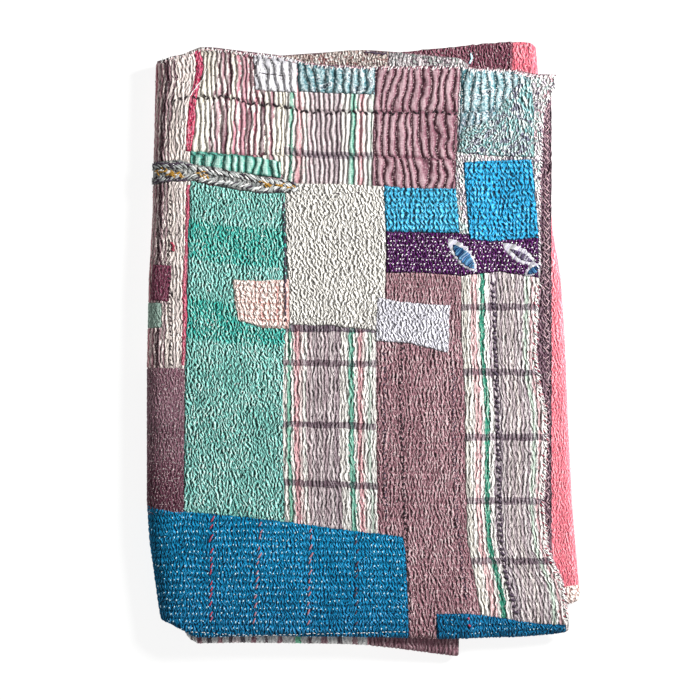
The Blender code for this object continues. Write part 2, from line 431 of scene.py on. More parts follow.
def new_finish(name, inputs):
    """A new material with some inputs of its shader set, its node tree and its shader."""
    material = bpy.data.materials.new(name)
    material.use_nodes = True
    shader = material.node_tree.nodes["Principled BSDF"]
    for label, value in inputs.items():
        shader.inputs[label].default_value = value
    return material, material.node_tree, shader


# %% The puckers, as nodes for the geometry and for the finishes alike
WARP = 1.3
WARP_SCALE = 0.35
RIB_WAVE = 0.5
GROOVE = 0.33
TOP = 0.63
ORDERED_GROOVE = -0.46
ORDERED_TOP = 0.36
GRAIN_SCALE = 0.8
GRAIN_FREQUENCY = 1.25
FINE_SHARE = 0.55
FINE_SCALE = 1.9
FINE_SHIFT = (31.7, 17.3, 0.0)
WRINKLE_SLANT = 1.3


def puckers(tree, cloth, ribs, across, along, straight, order):
    """Adds nodes for the height of the gathered cloth, from 0 in a groove to 1 on top."""
    grain = add(tree, "ShaderNodeCombineXYZ", None, (across, along, 1.0))
    counted = add(tree, "ShaderNodeVectorMath", "DIVIDE", (cloth, grain))
    bend = add(tree, "ShaderNodeTexNoise", None, {"Vector": counted, "Scale": WARP_SCALE, "Detail": 1.0})
    warp, back = ([size] * 3 for size in (WARP, -0.5 * WARP))
    moved = add(tree, "ShaderNodeVectorMath", "MULTIPLY_ADD", (bend.outputs["Color"], warp, back))
    place = add(tree, "ShaderNodeVectorMath", "ADD", (counted, moved))
    shifted = add(tree, "ShaderNodeVectorMath", "ADD", (place, FINE_SHIFT))

    # loose puckers: coarse ones, and fine wrinkles that slant more where the cloth is in order
    slant = add(tree, "ShaderNodeMath", "MULTIPLY", (order, WRINKLE_SLANT))
    coarse, fine = (
        add(tree, "ShaderNodeTexGabor", None, {
            "Vector": there, "Scale": GRAIN_SCALE * scale, "Frequency": GRAIN_FREQUENCY,
            "Anisotropy": straight, 4: turned,
        })
        for there, scale, turned in ((place, 1.0, 0.0), (shifted, FINE_SCALE, slant))
    )
    share = add(tree, "ShaderNodeMath", "SUBTRACT", (1.0, order))
    loose = add(tree, "ShaderNodeMath", "MULTIPLY", (coarse, share))
    loose = add(tree, "ShaderNodeMath", "MULTIPLY_ADD", (fine, FINE_SHARE, loose))
    whole = add(tree, "ShaderNodeMath", "ADD", (share, FINE_SHARE))
    loose = add(tree, "ShaderNodeMath", "DIVIDE", (loose, whole))

    # ribs: the count of ribs, a little waved, as a row of arches
    waving = add(tree, "ShaderNodeSeparateXYZ", None, (moved,))
    turn = add(tree, "ShaderNodeMath", "MULTIPLY_ADD", (waving, RIB_WAVE, ribs))
    turn = add(tree, "ShaderNodeMath", "MULTIPLY", (turn, math.pi))
    rib = add(tree, "ShaderNodeMath", "SINE", (turn,))
    rib = add(tree, "ShaderNodeMath", "ABSOLUTE", (rib,))
    both = add(tree, "ShaderNodeMix", None, {0: order, 2: loose, 3: rib})
    low = add(tree, "ShaderNodeMath", "MULTIPLY_ADD", (order, ORDERED_GROOVE, GROOVE))
    high = add(tree, "ShaderNodeMath", "MULTIPLY_ADD", (order, ORDERED_TOP, TOP))
    return add(tree, "ShaderNodeMapRange", {"interpolation_type": "SMOOTHSTEP"}, (both, low, high))


# %% The colour of a cloth: its dye, and where a place on the cloth is seen
WAVER = 3.6
WAVER_SCALE = 230.0
HIDDEN_CLOTH = 1.3


def place_seen(tree, cloth, height):
    """Adds the place on the cloth that is seen: threads waver, and each pucker hides some cloth."""
    fine = add(tree, "ShaderNodeTexNoise", None, {"Vector": cloth, "Scale": WAVER_SCALE, "Detail": 2.0})
    shift = add(tree, "ShaderNodeVectorMath", "SUBTRACT", (fine.outputs["Color"], (0.5, 0.5, 0.5)))
    waver = add(tree, "ShaderNodeVectorMath", "SCALE", {0: shift, "Scale": WAVER * MM})
    place = add(tree, "ShaderNodeVectorMath", "ADD", (cloth, waver))
    hidden = add(tree, "ShaderNodeMath", "MULTIPLY", (height, HIDDEN_CLOTH * MM))
    hidden = add(tree, "ShaderNodeCombineXYZ", None, (hidden,))
    return add(tree, "ShaderNodeVectorMath", "ADD", (place, hidden))


def colour_ramp(tree, share, bands, size, interpolation="CONSTANT"):
    """Adds a ramp of colours: each starts at some millimetres of the size."""
    node = add(tree, "ShaderNodeValToRGB", None, (share,))
    ramp = node.color_ramp
    ramp.interpolation = interpolation
    while len(ramp.elements) > 1:
        ramp.elements.remove(ramp.elements[-1])
    for index, (start, code) in enumerate(bands):
        place = min(start / size, 1.0)
        element = ramp.elements.new(place) if index else ramp.elements[0]
        element.position = place
        element.color = linear(code)
    return node


def dyed(tree, place, colour, stripes, bars, size, soft, blotch):
    """Adds the dyed colour at a place: plain, printed, striped or barred."""
    across, along = add(tree, "ShaderNodeSeparateXYZ", None, (place,)).outputs[:2]
    look = add(tree, "ShaderNodeRGB").outputs[0]
    look.default_value = linear(colour)
    if blotch:
        reach, colours = blotch
        printed = add(tree, "ShaderNodeTexNoise", None, {
            "Vector": place, "Scale": 1 / (reach * MM), "Detail": 3.0, "Distortion": 0.8,
        })
        # the noise lies mostly between 30 and 70 hundredths, so the colours share that range
        bands = [(30 + 40 * index / len(colours), code) for index, code in enumerate(colours)]
        look = colour_ramp(tree, printed, bands, 100)
    if stripes:
        share = add(tree, "ShaderNodeMath", "MULTIPLY", (across, 1 / (size[0] * MM)))
        look = colour_ramp(tree, share, stripes, size[0])
    if bars:
        share = add(tree, "ShaderNodeMath", "MULTIPLY", (along, 1 / (size[1] * MM)))
        barred = colour_ramp(tree, share, bars, size[1], "LINEAR" if soft else "CONSTANT")
        times = {"data_type": "RGBA", "blend_type": "MULTIPLY"}
        look = add(tree, "ShaderNodeMix", times, {0: 1.0, 6: look, 7: barred}).outputs[2]
    return look


# %% The wear of a cloth and its painted light: slubs, fading, painted shade in the grooves, painted highlights on the tops, and flecks
FADE_REACH = 55.0
SLUB_RANGE = (0.6, 1.4, 0.72, 1.26)
FADE_RANGE = (0.3, 0.7, 0.92, 1.07)
CREST_END = 0.9
# how far the crests are lightened, as a painted highlight
PAINTED_HIGHLIGHT_TONE = 1.35
# the range of tone over which the tops take a painted highlight
PAINTED_HIGHLIGHT_RANGE = (0.85, 1.5)
# how far the grooves take a dark colour of their own, as painted shade
GROOVE_SHADE_RANGE = (0.0, 0.45, 0.85, 0.0)
FLECK_SIZE = (1.2, 2.4)
FLECK_RANGE = (0.58, 0.72)
# the pale colour of the flecks of thread, and of the painted highlight on the tops
FLECK_AND_HIGHLIGHT_COLOUR = "F6F3EE"


def stretched_noise(tree, cloth, reach, detail):
    """Adds a noise that changes over some millimetres across and along the cloth."""
    scale = [1 / (length * MM) for length in reach] + [1.0]
    laid = add(tree, "ShaderNodeMapping", None, {"Vector": cloth, "Scale": scale})
    return add(tree, "ShaderNodeTexNoise", None, {"Vector": laid, "Scale": 1.0, "Detail": detail})


def mixed_in(tree, look, share, code):
    """Adds a share of a colour to a look."""
    mixed = add(tree, "ShaderNodeMix", {"data_type": "RGBA"}, {0: share, 6: look, 7: linear(code)})
    return mixed.outputs[2]


def worn_and_shaded(tree, cloth, look, risen, weave, order, depth, pale, flecks, groove):
    """Adds slubs, fading and flecks to a dyed colour, with painted shade in the grooves and painted
    highlights on the tops, as the relief and the weave have it.
    """
    soft_step = {"interpolation_type": "SMOOTHSTEP"}
    slub = add(tree, "ShaderNodeMapRange", None, (weave, *SLUB_RANGE))
    fade = stretched_noise(tree, cloth, (FADE_REACH, FADE_REACH), 2.0)
    faded = add(tree, "ShaderNodeMapRange", None, (fade, *FADE_RANGE))
    # painted shade and highlight: darker towards the bottom of each groove, lighter on the crests
    crest = add(tree, "ShaderNodeMath", "POWER", (risen, 1 - 0.6 * order))
    shade = add(tree, "ShaderNodeMapRange", None, (crest, 0.0, CREST_END, depth, PAINTED_HIGHLIGHT_TONE))
    tone = slub
    for part in (faded, shade):
        tone = add(tree, "ShaderNodeMath", "MULTIPLY", (tone, part))
    look = add(tree, "ShaderNodeVectorMath", "SCALE", {0: look, "Scale": tone})
    # painted highlight: where the tone is lightest, the tops go toward a pale thread colour
    painted_highlight = add(tree, "ShaderNodeMapRange", soft_step, (tone, *PAINTED_HIGHLIGHT_RANGE, 0.0, pale))
    look = mixed_in(tree, look, painted_highlight, FLECK_AND_HIGHLIGHT_COLOUR)
    # painted shade: the bottoms of the grooves take a dark colour of their own
    if groove:
        groove_shade = add(tree, "ShaderNodeMapRange", None, (risen, *GROOVE_SHADE_RANGE))
        look = mixed_in(tree, look, groove_shade, groove)
    speck = stretched_noise(tree, cloth, FLECK_SIZE, 1.0)
    fleck = add(tree, "ShaderNodeMapRange", soft_step, (speck, *FLECK_RANGE, 0.0, flecks))
    return mixed_in(tree, look, fleck, FLECK_AND_HIGHLIGHT_COLOUR)


# %% Washed cotton
THREAD_SHOWN = 0.9
SLUB_LENGTH = 9.0
PUCKER_BUMP = 2.8
USUAL_HEIGHT = 1.8
WEAVE_BUMP = 0.35
COTTON_SHADER = {
    "Roughness": 0.93, "Specular IOR Level": 0.12, "Sheen Weight": 0.04, "Sheen Roughness": 0.6,
}
gather_of = {}


def washed_cotton(name, colour, gather="fine", stripes=(), bars=(), size=(100, 100), soft=False,
                  blotch=(), depth=0.1, pale=0.35, flecks=0.25, groove=None):
    """Washed plain-weave cotton, gathered in one of the ways of GATHERS.

    stripes run along the cloth and bars across it, in millimetres from its left and top edge.
    blotch is a block print: its reach in millimetres and its colours, from low to high.
    depth is how dark the painted shade at the bottom of a groove is, and pale how far the painted
    highlight on the tops goes to white. flecks is how far the small pale specks of thread show, and
    groove a dark colour of its own for the painted shade in the grooves."""
    material, tree, shader = new_finish(name, COTTON_SHADER)
    sizes = GATHERS[gather]
    cloth = add(tree, "ShaderNodeUVMap", {"uv_map": "cloth"}).outputs[0]

    # the same puckers as the geometry's
    gathers = add(tree, "ShaderNodeAttribute", {"attribute_name": "gathers"}).outputs["Vector"]
    ribs, _, free = add(tree, "ShaderNodeSeparateXYZ", None, (gathers,)).outputs[:3]
    grain = [length * MM for length in sizes["grain"]]
    height = puckers(tree, cloth, ribs, *grain, sizes["straight"], sizes["order"])
    risen = add(tree, "ShaderNodeMath", "MULTIPLY", (height, free))

    # the colour
    look = dyed(tree, place_seen(tree, cloth, height), colour, stripes, bars, size, soft, blotch)
    warp = stretched_noise(tree, cloth, (THREAD_SHOWN, SLUB_LENGTH), 2.0)
    weft = stretched_noise(tree, cloth, (SLUB_LENGTH, THREAD_SHOWN), 2.0)
    weave = add(tree, "ShaderNodeMath", "ADD", (warp, weft))
    # slubs, fading and flecks, with painted shade in the grooves and painted highlights on the tops
    look = worn_and_shaded(tree, cloth, look, risen, weave, sizes["order"], depth, pale, flecks, groove)
    tree.links.new(look, shader.inputs["Base Color"])

    # the bump, in millimetres
    rough = PUCKER_BUMP * sizes["height"] / USUAL_HEIGHT * (1 - 0.8 * sizes["order"])
    bumps = add(tree, "ShaderNodeMath", "MULTIPLY", (risen, rough))
    bumps = add(tree, "ShaderNodeMath", "MULTIPLY_ADD", (weave, WEAVE_BUMP, bumps))
    bump = add(tree, "ShaderNodeBump", None, {"Strength": 1.0, "Distance": MM, "Height": bumps})
    tree.links.new(bump.outputs[0], shader.inputs["Normal"])
    gather_of[name] = sizes
    return material


# %% Cotton thread
PLY_WIDTH = 0.6
PLY_RANGE = (0.3, 0.7, 0.8, 1.12)


def cotton_thread(name, colour):
    """Twisted sewing cotton: a little smoother than the cloth, with its ply as fine ridges."""
    material, tree, shader = new_finish(name, {"Roughness": 0.75, "Specular IOR Level": 0.3})
    place = add(tree, "ShaderNodeTexCoord").outputs["Object"]
    ply = add(tree, "ShaderNodeTexNoise", None, {
        "Vector": place, "Scale": 1 / (PLY_WIDTH * MM), "Detail": 1.0,
    })
    tone = add(tree, "ShaderNodeMapRange", None, (ply, *PLY_RANGE))
    dye = add(tree, "ShaderNodeRGB").outputs[0]
    dye.default_value = linear(colour)
    look = add(tree, "ShaderNodeVectorMath", "SCALE", {0: dye, "Scale": tone})
    tree.links.new(look.outputs[0], shader.inputs["Base Color"])
    bump = add(tree, "ShaderNodeBump", None, {"Strength": 0.5, "Distance": 0.1 * MM, "Height": ply})
    tree.links.new(bump.outputs[0], shader.inputs["Normal"])
    return material


# %% [markdown]
# ## The body of the quilt
#
# The body is the one folded cloth that everything else is sewn to. It is a grid of points laid
# along the fold: across the section from hem to hem, and round the front fold from the upper
# ply to the lower one. The Solidify modifier then gives the ply its thickness. The same way
# made the CAD solid, so the body fills the same space, only smoother.

# %% The rows and stations of the body
UPPER_ROW_COUNT = 46
LOWER_ROW_COUNT = 30
FRONT_FOLD_STEPS = 6
COVER_STEPS = 44
HIDDEN_LAYER_STEPS = 26
OUTER_FOLD_STEPS = 16
TIGHT_FOLD_STEPS = 8


def width_rows():
    """Each row's share of the way to the hem and its angle round the front fold."""
    upper = [(share, 0.0) for share in np.linspace(1, 0, UPPER_ROW_COUNT)]
    turns = [(0.0, math.pi * step / FRONT_FOLD_STEPS) for step in range(1, FRONT_FOLD_STEPS)]
    lower = [(share, math.pi) for share in np.linspace(0, 1, LOWER_ROW_COUNT)]
    return np.array(upper + turns + lower)


def layer(start, end, ends, height, facing, steps):
    """Stations along a layer: x, z, the facing's x and z, the tables of its ends, their blend."""
    shares = np.linspace(0, 1, steps + 1)
    return [(start + (end - start) * share, height, 0.0, facing, ends, ends, 0.0) for share in shares]


def fold(nose, face, downward, facing, steps):
    """Stations round a fold, without its two ends, which are the layers' own."""
    _, depth, low, high, side, ends, ends_past = FACES[face]
    middle = nose - side * (depth + OUTER_REACH)
    rise = (high - low) / 2
    tables = (ends, ends_past) if downward else (ends_past, ends)
    stations = []
    for step in range(1, steps):
        turn = math.pi * step / steps
        across, up = math.sin(turn), math.cos(turn) * (1 if downward else -1)
        normal = np.array((side * across / depth, up / rise))
        normal = facing * normal / np.linalg.norm(normal)
        x = middle + side * depth * across
        stations.append((x, (low + high) / 2 + rise * up, normal[0], normal[1], *tables, step / steps))
    return stations


def stations_of(share, below):
    """Every station of the book fold, from the cover's free hem to the heart's."""
    hem = (1 - below) * along_edge(COVER_HEM, share) + below * along_edge(COVER_HEM_BELOW, share)
    outer, right, inner = (along_edge(table, share) for table in (OUTER_FOLD, RIGHT_FOLD, INNER_FOLD))
    outer_middle = outer + OUTER_FOLD_DEPTH + OUTER_REACH
    right_middle = right - TIGHT_FOLD_RADIUS - OUTER_REACH
    inner_middle = inner + TIGHT_FOLD_RADIUS + OUTER_REACH
    heart_hem = along_edge(HEART_HEM, share)
    return (
        layer(hem, outer_middle, COVER_ENDS, COVER_HEIGHT, 1, COVER_STEPS)
        + fold(outer, "cover", True, 1, OUTER_FOLD_STEPS)
        + layer(outer_middle, right_middle, BASE_ENDS, BASE_HEIGHT, -1, HIDDEN_LAYER_STEPS)
        + fold(right, "lining", False, 1, TIGHT_FOLD_STEPS)
        + layer(right_middle, inner_middle, LINING_ENDS, LINING_HEIGHT, 1, HIDDEN_LAYER_STEPS)
        + fold(inner, "heart", False, -1, TIGHT_FOLD_STEPS)
        + layer(inner_middle, heart_hem, HEART_ENDS, HEART_HEIGHT, -1, HIDDEN_LAYER_STEPS)
    )


# %% Lay the body's points along the fold
def folded_points():
    """The middle of the cloth as a grid of points in millimetres: stations by rows."""
    share, turn = width_rows().T
    below = (1 - np.cos(turn)) / 2
    stations = stations_of(share, below)
    step_start = along_edge(HEART_HEM, share) + STEP_CLEARANCE
    points = np.zeros((len(stations), len(share), 3))
    for index, (x, z, facing_x, facing_z, first, second, blend) in enumerate(stations):
        front = (1 - blend) * read(first, x, 1) + blend * read(second, x, 1)
        back = (1 - blend) * read(first, x, 2) + blend * read(second, x, 2)
        start = front + OUTER_REACH
        y = start + share * (back - HEM_SETBACK * below - start) - HALF_STEP * np.sin(turn)
        lift = HALF_STEP * np.cos(turn)
        if index <= COVER_STEPS:
            settle = ease((x - stations[COVER_STEPS][0]) / SWELL_FADE)
            z = z - STEP_DROP * ease((x - step_start) / STEP_LENGTH)
            z = z + settle * (swell(x, y) - droop(x, y))
        if first is HEART_ENDS:
            z = z - droop(x, y)
        points[index] = np.stack((x + facing_x * lift, y, z + facing_z * lift), axis=-1)
    return points


def run_along(points, axis):
    """The length of the way to each point of a grid, along its stations (0) or its rows (1)."""
    steps = np.linalg.norm(np.diff(points, axis=axis), axis=2)
    return np.insert(np.cumsum(steps, axis=axis), 0, 0, axis=axis)


body_points = folded_points()
STACK_MIDDLE = (body_points.min(axis=(0, 1)) + body_points.max(axis=(0, 1))) / 2
STACK_MIDDLE[2] = 0
body_run, body_width = run_along(body_points, 0), run_along(body_points, 1)
print("flat quilt about", round(body_run[-1].mean()), "by", round(body_width[:, -1].mean()), "mm")


# %% Make meshes
def to_metres(points):
    """Puts points in the room, with the middle of the stack over the origin."""
    return (points.reshape(-1, 3) - STACK_MIDDLE) * MM


def new_piece(name, points, faces, material):
    """A new object from points in metres and faces."""
    mesh = bpy.data.meshes.new(name)
    mesh.from_pydata(points.tolist(), [], faces)
    mesh.materials.append(material)
    piece = bpy.data.objects.new(name, mesh)
    bpy.context.scene.collection.objects.link(piece)
    return piece


def grid_faces(index, downward=False):
    """The faces of a grid of points."""
    a, b, c, d = index[:-1, :-1], index[1:, :-1], index[1:, 1:], index[:-1, 1:]
    order = (a, d, c, b) if downward else (a, b, c, d)
    return np.stack(order, -1).reshape(-1, 4).tolist()


def give_cloth_map(mesh, places):
    """Gives a mesh the UV map that its finish reads: metres along the cloth, for each point."""
    corners = np.empty(len(mesh.loops), dtype=np.int32)
    mesh.loops.foreach_get("vertex_index", corners)
    cloth_map = mesh.uv_layers.new(name="cloth")
    cloth_map.data.foreach_set("uv", places[corners].astype(np.float32).reshape(-1))


def give_vectors(mesh, name, vectors):
    """Keeps three numbers for each point of a mesh, for the nodes to read."""
    attribute = mesh.attributes.new(name, "FLOAT_VECTOR", "POINT")
    attribute.data.foreach_set("vector", vectors.astype(np.float32).reshape(-1))


def applied(piece):
    """Turns a piece's modifiers into plain mesh."""
    evaluated = piece.evaluated_get(bpy.context.evaluated_depsgraph_get())
    mesh = bpy.data.meshes.new_from_object(evaluated)
    piece.modifiers.clear()
    piece.data = mesh
    mesh.name = piece.name
    return piece


def new_tree(name, inputs):
    """A geometry tree with named inputs, each with its kind and its value if it has one."""
    tree = bpy.data.node_groups.new(name, "GeometryNodeTree")
    for label, kind, *value in (("Geometry", "Geometry"), *inputs):
        socket = tree.interface.new_socket(label, in_out="INPUT", socket_type="NodeSocket" + kind)
        if value:
            socket.default_value = value[0]
    tree.interface.new_socket("Geometry", in_out="OUTPUT", socket_type="NodeSocketGeometry")
    return tree, add(tree, "NodeGroupInput").outputs


def run_tree(piece, tree, values):
    """Runs a tree on a piece with some of its inputs set, and keeps the result as plain mesh."""
    modifier = piece.modifiers.new(tree.name, "NODES")
    modifier.node_group = tree
    inputs = {item.name: item.identifier for item in tree.interface.items_tree if item.in_out == "INPUT"}
    for label, value in values.items():
        modifier[inputs[label]] = value
    return applied(piece)


# %% Build the body
BODY_SEWN_DOWN = 0.9
BODY_BANDS = (
    (0, "9C7480"), (180, "CFC4BE"), (210, "8E6672"), (390, "C9B7B4"), (420, "96707C"), (640, "E8828F"),
    (1160, "A87A86"), (1260, "CFC4BE"), (1290, "94707A"),
)
faded_length = washed_cotton("washed_cotton_faded_length", "9C7480", "ribs", stripes=BODY_BANDS,
    size=(1700, 1300))


def sew_body():
    """The folded body, as one closed cloth."""
    faces = grid_faces(np.arange(body_run.size).reshape(body_run.shape))
    piece = new_piece("quilt_body", to_metres(body_points), faces, faded_length)
    places = np.stack((body_run, body_width), axis=-1).reshape(-1, 2) * MM
    give_cloth_map(piece.data, places)
    ribs = places[:, 1] / (gather_of[faded_length.name]["rib"] * MM)
    gathers = np.stack((ribs, 0 * ribs, 0 * ribs + BODY_SEWN_DOWN), axis=-1)
    give_vectors(piece.data, "gathers", gathers)
    thickness = piece.modifiers.new("ply", "SOLIDIFY")
    thickness.thickness = PLY_THICKNESS * MM
    thickness.offset = 0
    applied(piece).data.shade_smooth()
    return piece


quilt_body = sew_body()
print("body", len(quilt_body.data.polygons), "faces")

# %% [markdown]
# ## How a piece of cloth is cut and sewn on
#
# A piece has four edges, chalked from the photograph. A Coons surface fills the space between
# the four, so a piece may be as crooked as its edges are. Its grid is fine enough to carry the
# relief, and it stands a little above what is under it, as cloth on cloth does. Its rim rolls
# down where its hem is turned under. Its underside doesn't show, so it is a coarse grid, and the
# rim joins the two. All pieces are listed first, because a lower piece lies flat where a higher
# one covers it.

# %% The list of pieces
FINE_STEP = (1.1, 1.35)
COARSE = 6
LEVELS = {1: 0.25, 2: 0.8, 3: 1.3, 4: 1.7}
COVER_SEED = 11
panels = {}


def joined(first, last):
    """A straight edge between two points."""
    shares = np.linspace(0, 1, CHALK_POINTS)[:, None]
    return first + (last - first) * shares


def cut(name, level, finish, left, right, top=None, bottom=None, face="cover", seed=COVER_SEED,
        under=0.0):
    """Chalks a piece. left and right run downwards, top and bottom to the right.

    A piece of a higher level lies on those below. under is how far under the face it lies."""
    left, right = chalk_line(face, left), chalk_line(face, right)
    top = joined(left[0], right[0]) if top is None else chalk_line(face, top)
    bottom = joined(left[-1], right[-1]) if bottom is None else chalk_line(face, bottom)
    left[0] = top[0]
    right[0] = top[-1]
    left[-1] = bottom[0]
    right[-1] = bottom[-1]
    outline = np.concatenate((top, right[1:], bottom[::-1][1:], left[::-1][1:-1]))
    panels[name] = {
        "face": face, "edges": (top, right, bottom, left), "outline": outline, "level": level,
        "finish": finish, "gather": gather_of[finish.name], "seed": seed, "under": under,
    }


def measured(line):
    """The length of a line."""
    return np.hypot(*np.diff(line, axis=0).T).sum()


def inside(outline, x, y):
    """Whether places lie inside an outline."""
    x1, y1 = outline.T
    x2, y2 = np.roll(outline, -1, axis=0).T
    result = np.zeros(x.shape, bool)
    for a, b, c, d in zip(x1, y1, x2, y2):
        if b != d:
            result ^= ((b > y) != (d > y)) & (x < (c - a) * (y - b) / (d - b) + a)
    return result


def covered(panel, x, y):
    """Whether places on a piece lie under a higher piece of the same face."""
    result = np.zeros(x.shape, bool)
    for other in panels.values():
        together = other["face"] == panel["face"] and other["under"] == panel["under"]
        if together and other["level"] > panel["level"]:
            low, high = other["outline"].min(axis=0), other["outline"].max(axis=0)
            near = (x > low[0]) & (x < high[0]) & (y > low[1]) & (y < high[1])
            found = np.zeros(x.shape, bool)
            found[near] = inside(other["outline"], x[near], y[near])
            result |= found
    return result


# %% The surface between four edges
def between(edges, p, q):
    """The Coons surface between four edges, at shares p across and q down."""
    top, right, bottom, left = edges
    across = (1 - q)[..., None] * share_along(top, p) + q[..., None] * share_along(bottom, p)
    down = (1 - p)[..., None] * share_along(left, q) + p[..., None] * share_along(right, q)
    corners = (
        ((1 - p) * (1 - q))[..., None] * top[0]
        + (p * (1 - q))[..., None] * top[-1]
        + ((1 - p) * q)[..., None] * bottom[0]
        + (p * q)[..., None] * bottom[-1]
    )
    return across + down - corners


def rim_faces(fine_row, coarse_row):
    """Faces that join a fine edge to a coarse one, COARSE fine steps to each coarse step."""
    faces = []
    for step in range(len(coarse_row) - 1):
        run = fine_row[step * COARSE : (step + 1) * COARSE + 1]
        faces.append([*run, coarse_row[step + 1], coarse_row[step]])
    return faces


def closed_faces(fine_shape, coarse_shape):
    """The faces of a fine top, of a coarse underside and of the rim between them."""
    fine = np.arange(math.prod(fine_shape)).reshape(fine_shape)
    coarse = fine.size + np.arange(math.prod(coarse_shape)).reshape(coarse_shape)
    faces = grid_faces(fine) + grid_faces(coarse, downward=True)
    for turns in range(4):
        faces += rim_faces(np.rot90(fine, turns)[0].tolist(), np.rot90(coarse, turns)[0].tolist())
    return faces


# %% Geometry Nodes that gather a piece
GATHERING_INPUTS = ("Grain across", "Grain along", "Straightness", "Order", "Height")


def gathering_tree():
    """A tree that raises each point of a piece by the puckers' height."""
    floats = ((label, "Float") for label in GATHERING_INPUTS)
    tree, given = new_tree("gathering", (*floats, ("Finish", "Material")))
    cloth, gathers, up = (
        add(tree, "GeometryNodeInputNamedAttribute", {"data_type": "FLOAT_VECTOR"}, {"Name": label})
        for label in ("cloth", "gathers", "up")
    )
    ribs, rise, _ = add(tree, "ShaderNodeSeparateXYZ", None, (gathers,)).outputs[:3]
    height = puckers(tree, cloth, ribs, *(given[label] for label in GATHERING_INPUTS[:4]))
    risen = add(tree, "ShaderNodeMath", "MULTIPLY", (height, rise))
    risen = add(tree, "ShaderNodeMath", "MULTIPLY", (risen, given["Height"]))
    offset = add(tree, "ShaderNodeVectorMath", "SCALE", {0: up, "Scale": risen})
    raised = add(tree, "GeometryNodeSetPosition", None, {"Geometry": given["Geometry"], "Offset": offset})
    real = add(tree, "GeometryNodeRealizeInstances", None, {"Geometry": raised})
    done = add(tree, "GeometryNodeSetMaterial", None, {"Geometry": real, "Material": given["Finish"]})
    add(tree, "NodeGroupOutput", None, {"Geometry": done})
    return tree


gathering = gathering_tree()


def gather_up(piece, gather):
    """Runs the gathering on a piece, with its sizes in metres."""
    across, along = gather["grain"]
    sizes = (across * MM, along * MM, gather["straight"], gather["order"], gather["height"] * MM)
    values = {label: float(size) for label, size in zip(GATHERING_INPUTS, sizes)}
    run_tree(piece, gathering, {**values, "Finish": piece.data.materials[0]})


# %% Sew a piece
HEM_ROLL = 1.8
RIM_DROP = 0.35
RIM_FREEDOM = 0.55
INNER_FREEDOM = 0.45
EDGE_WANDER = 0.8
UNDERSIDE_DEPTH = 0.7
FLOOR_GAP = 0.15
FACING_START = 1.6
FACING_RATE = 2


def laid_out(panel):
    """A piece's fine grid: shares across and down, its width and height, and its places."""
    top, right, bottom, left = panel["edges"]
    width = (measured(top) + measured(bottom)) / 2
    height = (measured(left) + measured(right)) / 2
    across = COARSE * max(1, round(width / FINE_STEP[0] / COARSE))
    down = COARSE * max(1, round(height / FINE_STEP[1] / COARSE))
    q, p = np.meshgrid(np.linspace(0, 1, down + 1), np.linspace(0, 1, across + 1), indexing="ij")
    places = between(panel["edges"], p, q)
    x, y = places[..., 0], places[..., 1]
    x = x + EDGE_WANDER * drift(x, y, 5, 5, panel["seed"] + 8)
    y = y + EDGE_WANDER * drift(x, y, 5, 5, panel["seed"] + 9)
    return p, q, width, height, x, y


def with_coarse(values):
    """Values for the fine points, and again for those that the coarse underside shares."""
    size = values.shape[-1]
    return np.concatenate((values.reshape(-1, size), values[::COARSE, ::COARSE].reshape(-1, size)))


def sew(name):
    """Makes a piece of cloth: its gathered top, its rolled rim and its plain underside."""
    panel = panels[name]
    face, gather, seed = panel["face"], panel["gather"], panel["seed"]
    p, q, width, height, x, y = laid_out(panel)
    from_edge = np.minimum.reduce((p * width, (1 - p) * width, q * height, (1 - q) * height))
    rolled = ease(from_edge / HEM_ROLL)
    lift = panel["under"] + LEVELS[panel["level"]] - RIM_DROP * (1 - rolled)
    fine = cloth_point(face, x, y, lift)
    up = cloth_point(face, x, y, lift + 1) - fine
    fine[..., 2] = np.maximum(fine[..., 2], FLOOR_GAP)
    corners = (x[::COARSE, ::COARSE], y[::COARSE, ::COARSE])
    coarse = cloth_point(face, *corners, panel["under"] - UNDERSIDE_DEPTH)
    points = np.concatenate((fine.reshape(-1, 3), coarse.reshape(-1, 3)))
    faces = closed_faces(x.shape, corners[0].shape)
    piece = new_piece(name, to_metres(points), faces, panel["finish"])
    give_cloth_map(piece.data, with_coarse(np.stack((p * width, q * height), axis=-1)) * MM)

    # the cloth rises where nothing holds it, covers it or turns it to the floor
    free = freedom(x, y, gather, seed)
    rise = free * rolled * ease(FACING_START + FACING_RATE * up[..., 2])
    rise = np.where(covered(panel, x, y), 0.0, rise)
    free = free * (RIM_FREEDOM + INNER_FREEDOM * rolled)
    gathers = np.stack((rib_phase(x, y, gather, seed), rise, free), axis=-1)
    give_vectors(piece.data, "gathers", with_coarse(gathers))
    give_vectors(piece.data, "up", np.concatenate((up.reshape(-1, 3), 0 * coarse.reshape(-1, 3))))
    gather_up(piece, gather)
    piece.data.attributes.remove(piece.data.attributes["up"])
    piece.data.shade_smooth()
    return piece


# %% [markdown]
# ## The long lengths
#
# The ground of the cover is pieced from long lengths of checked and plain cotton that run from
# the gathered band at the back to the front fold. Their stripes are woven in, so they run with
# the cloth and bend where it bends. A stripe table gives where each colour starts, in
# millimetres from the length's left edge.

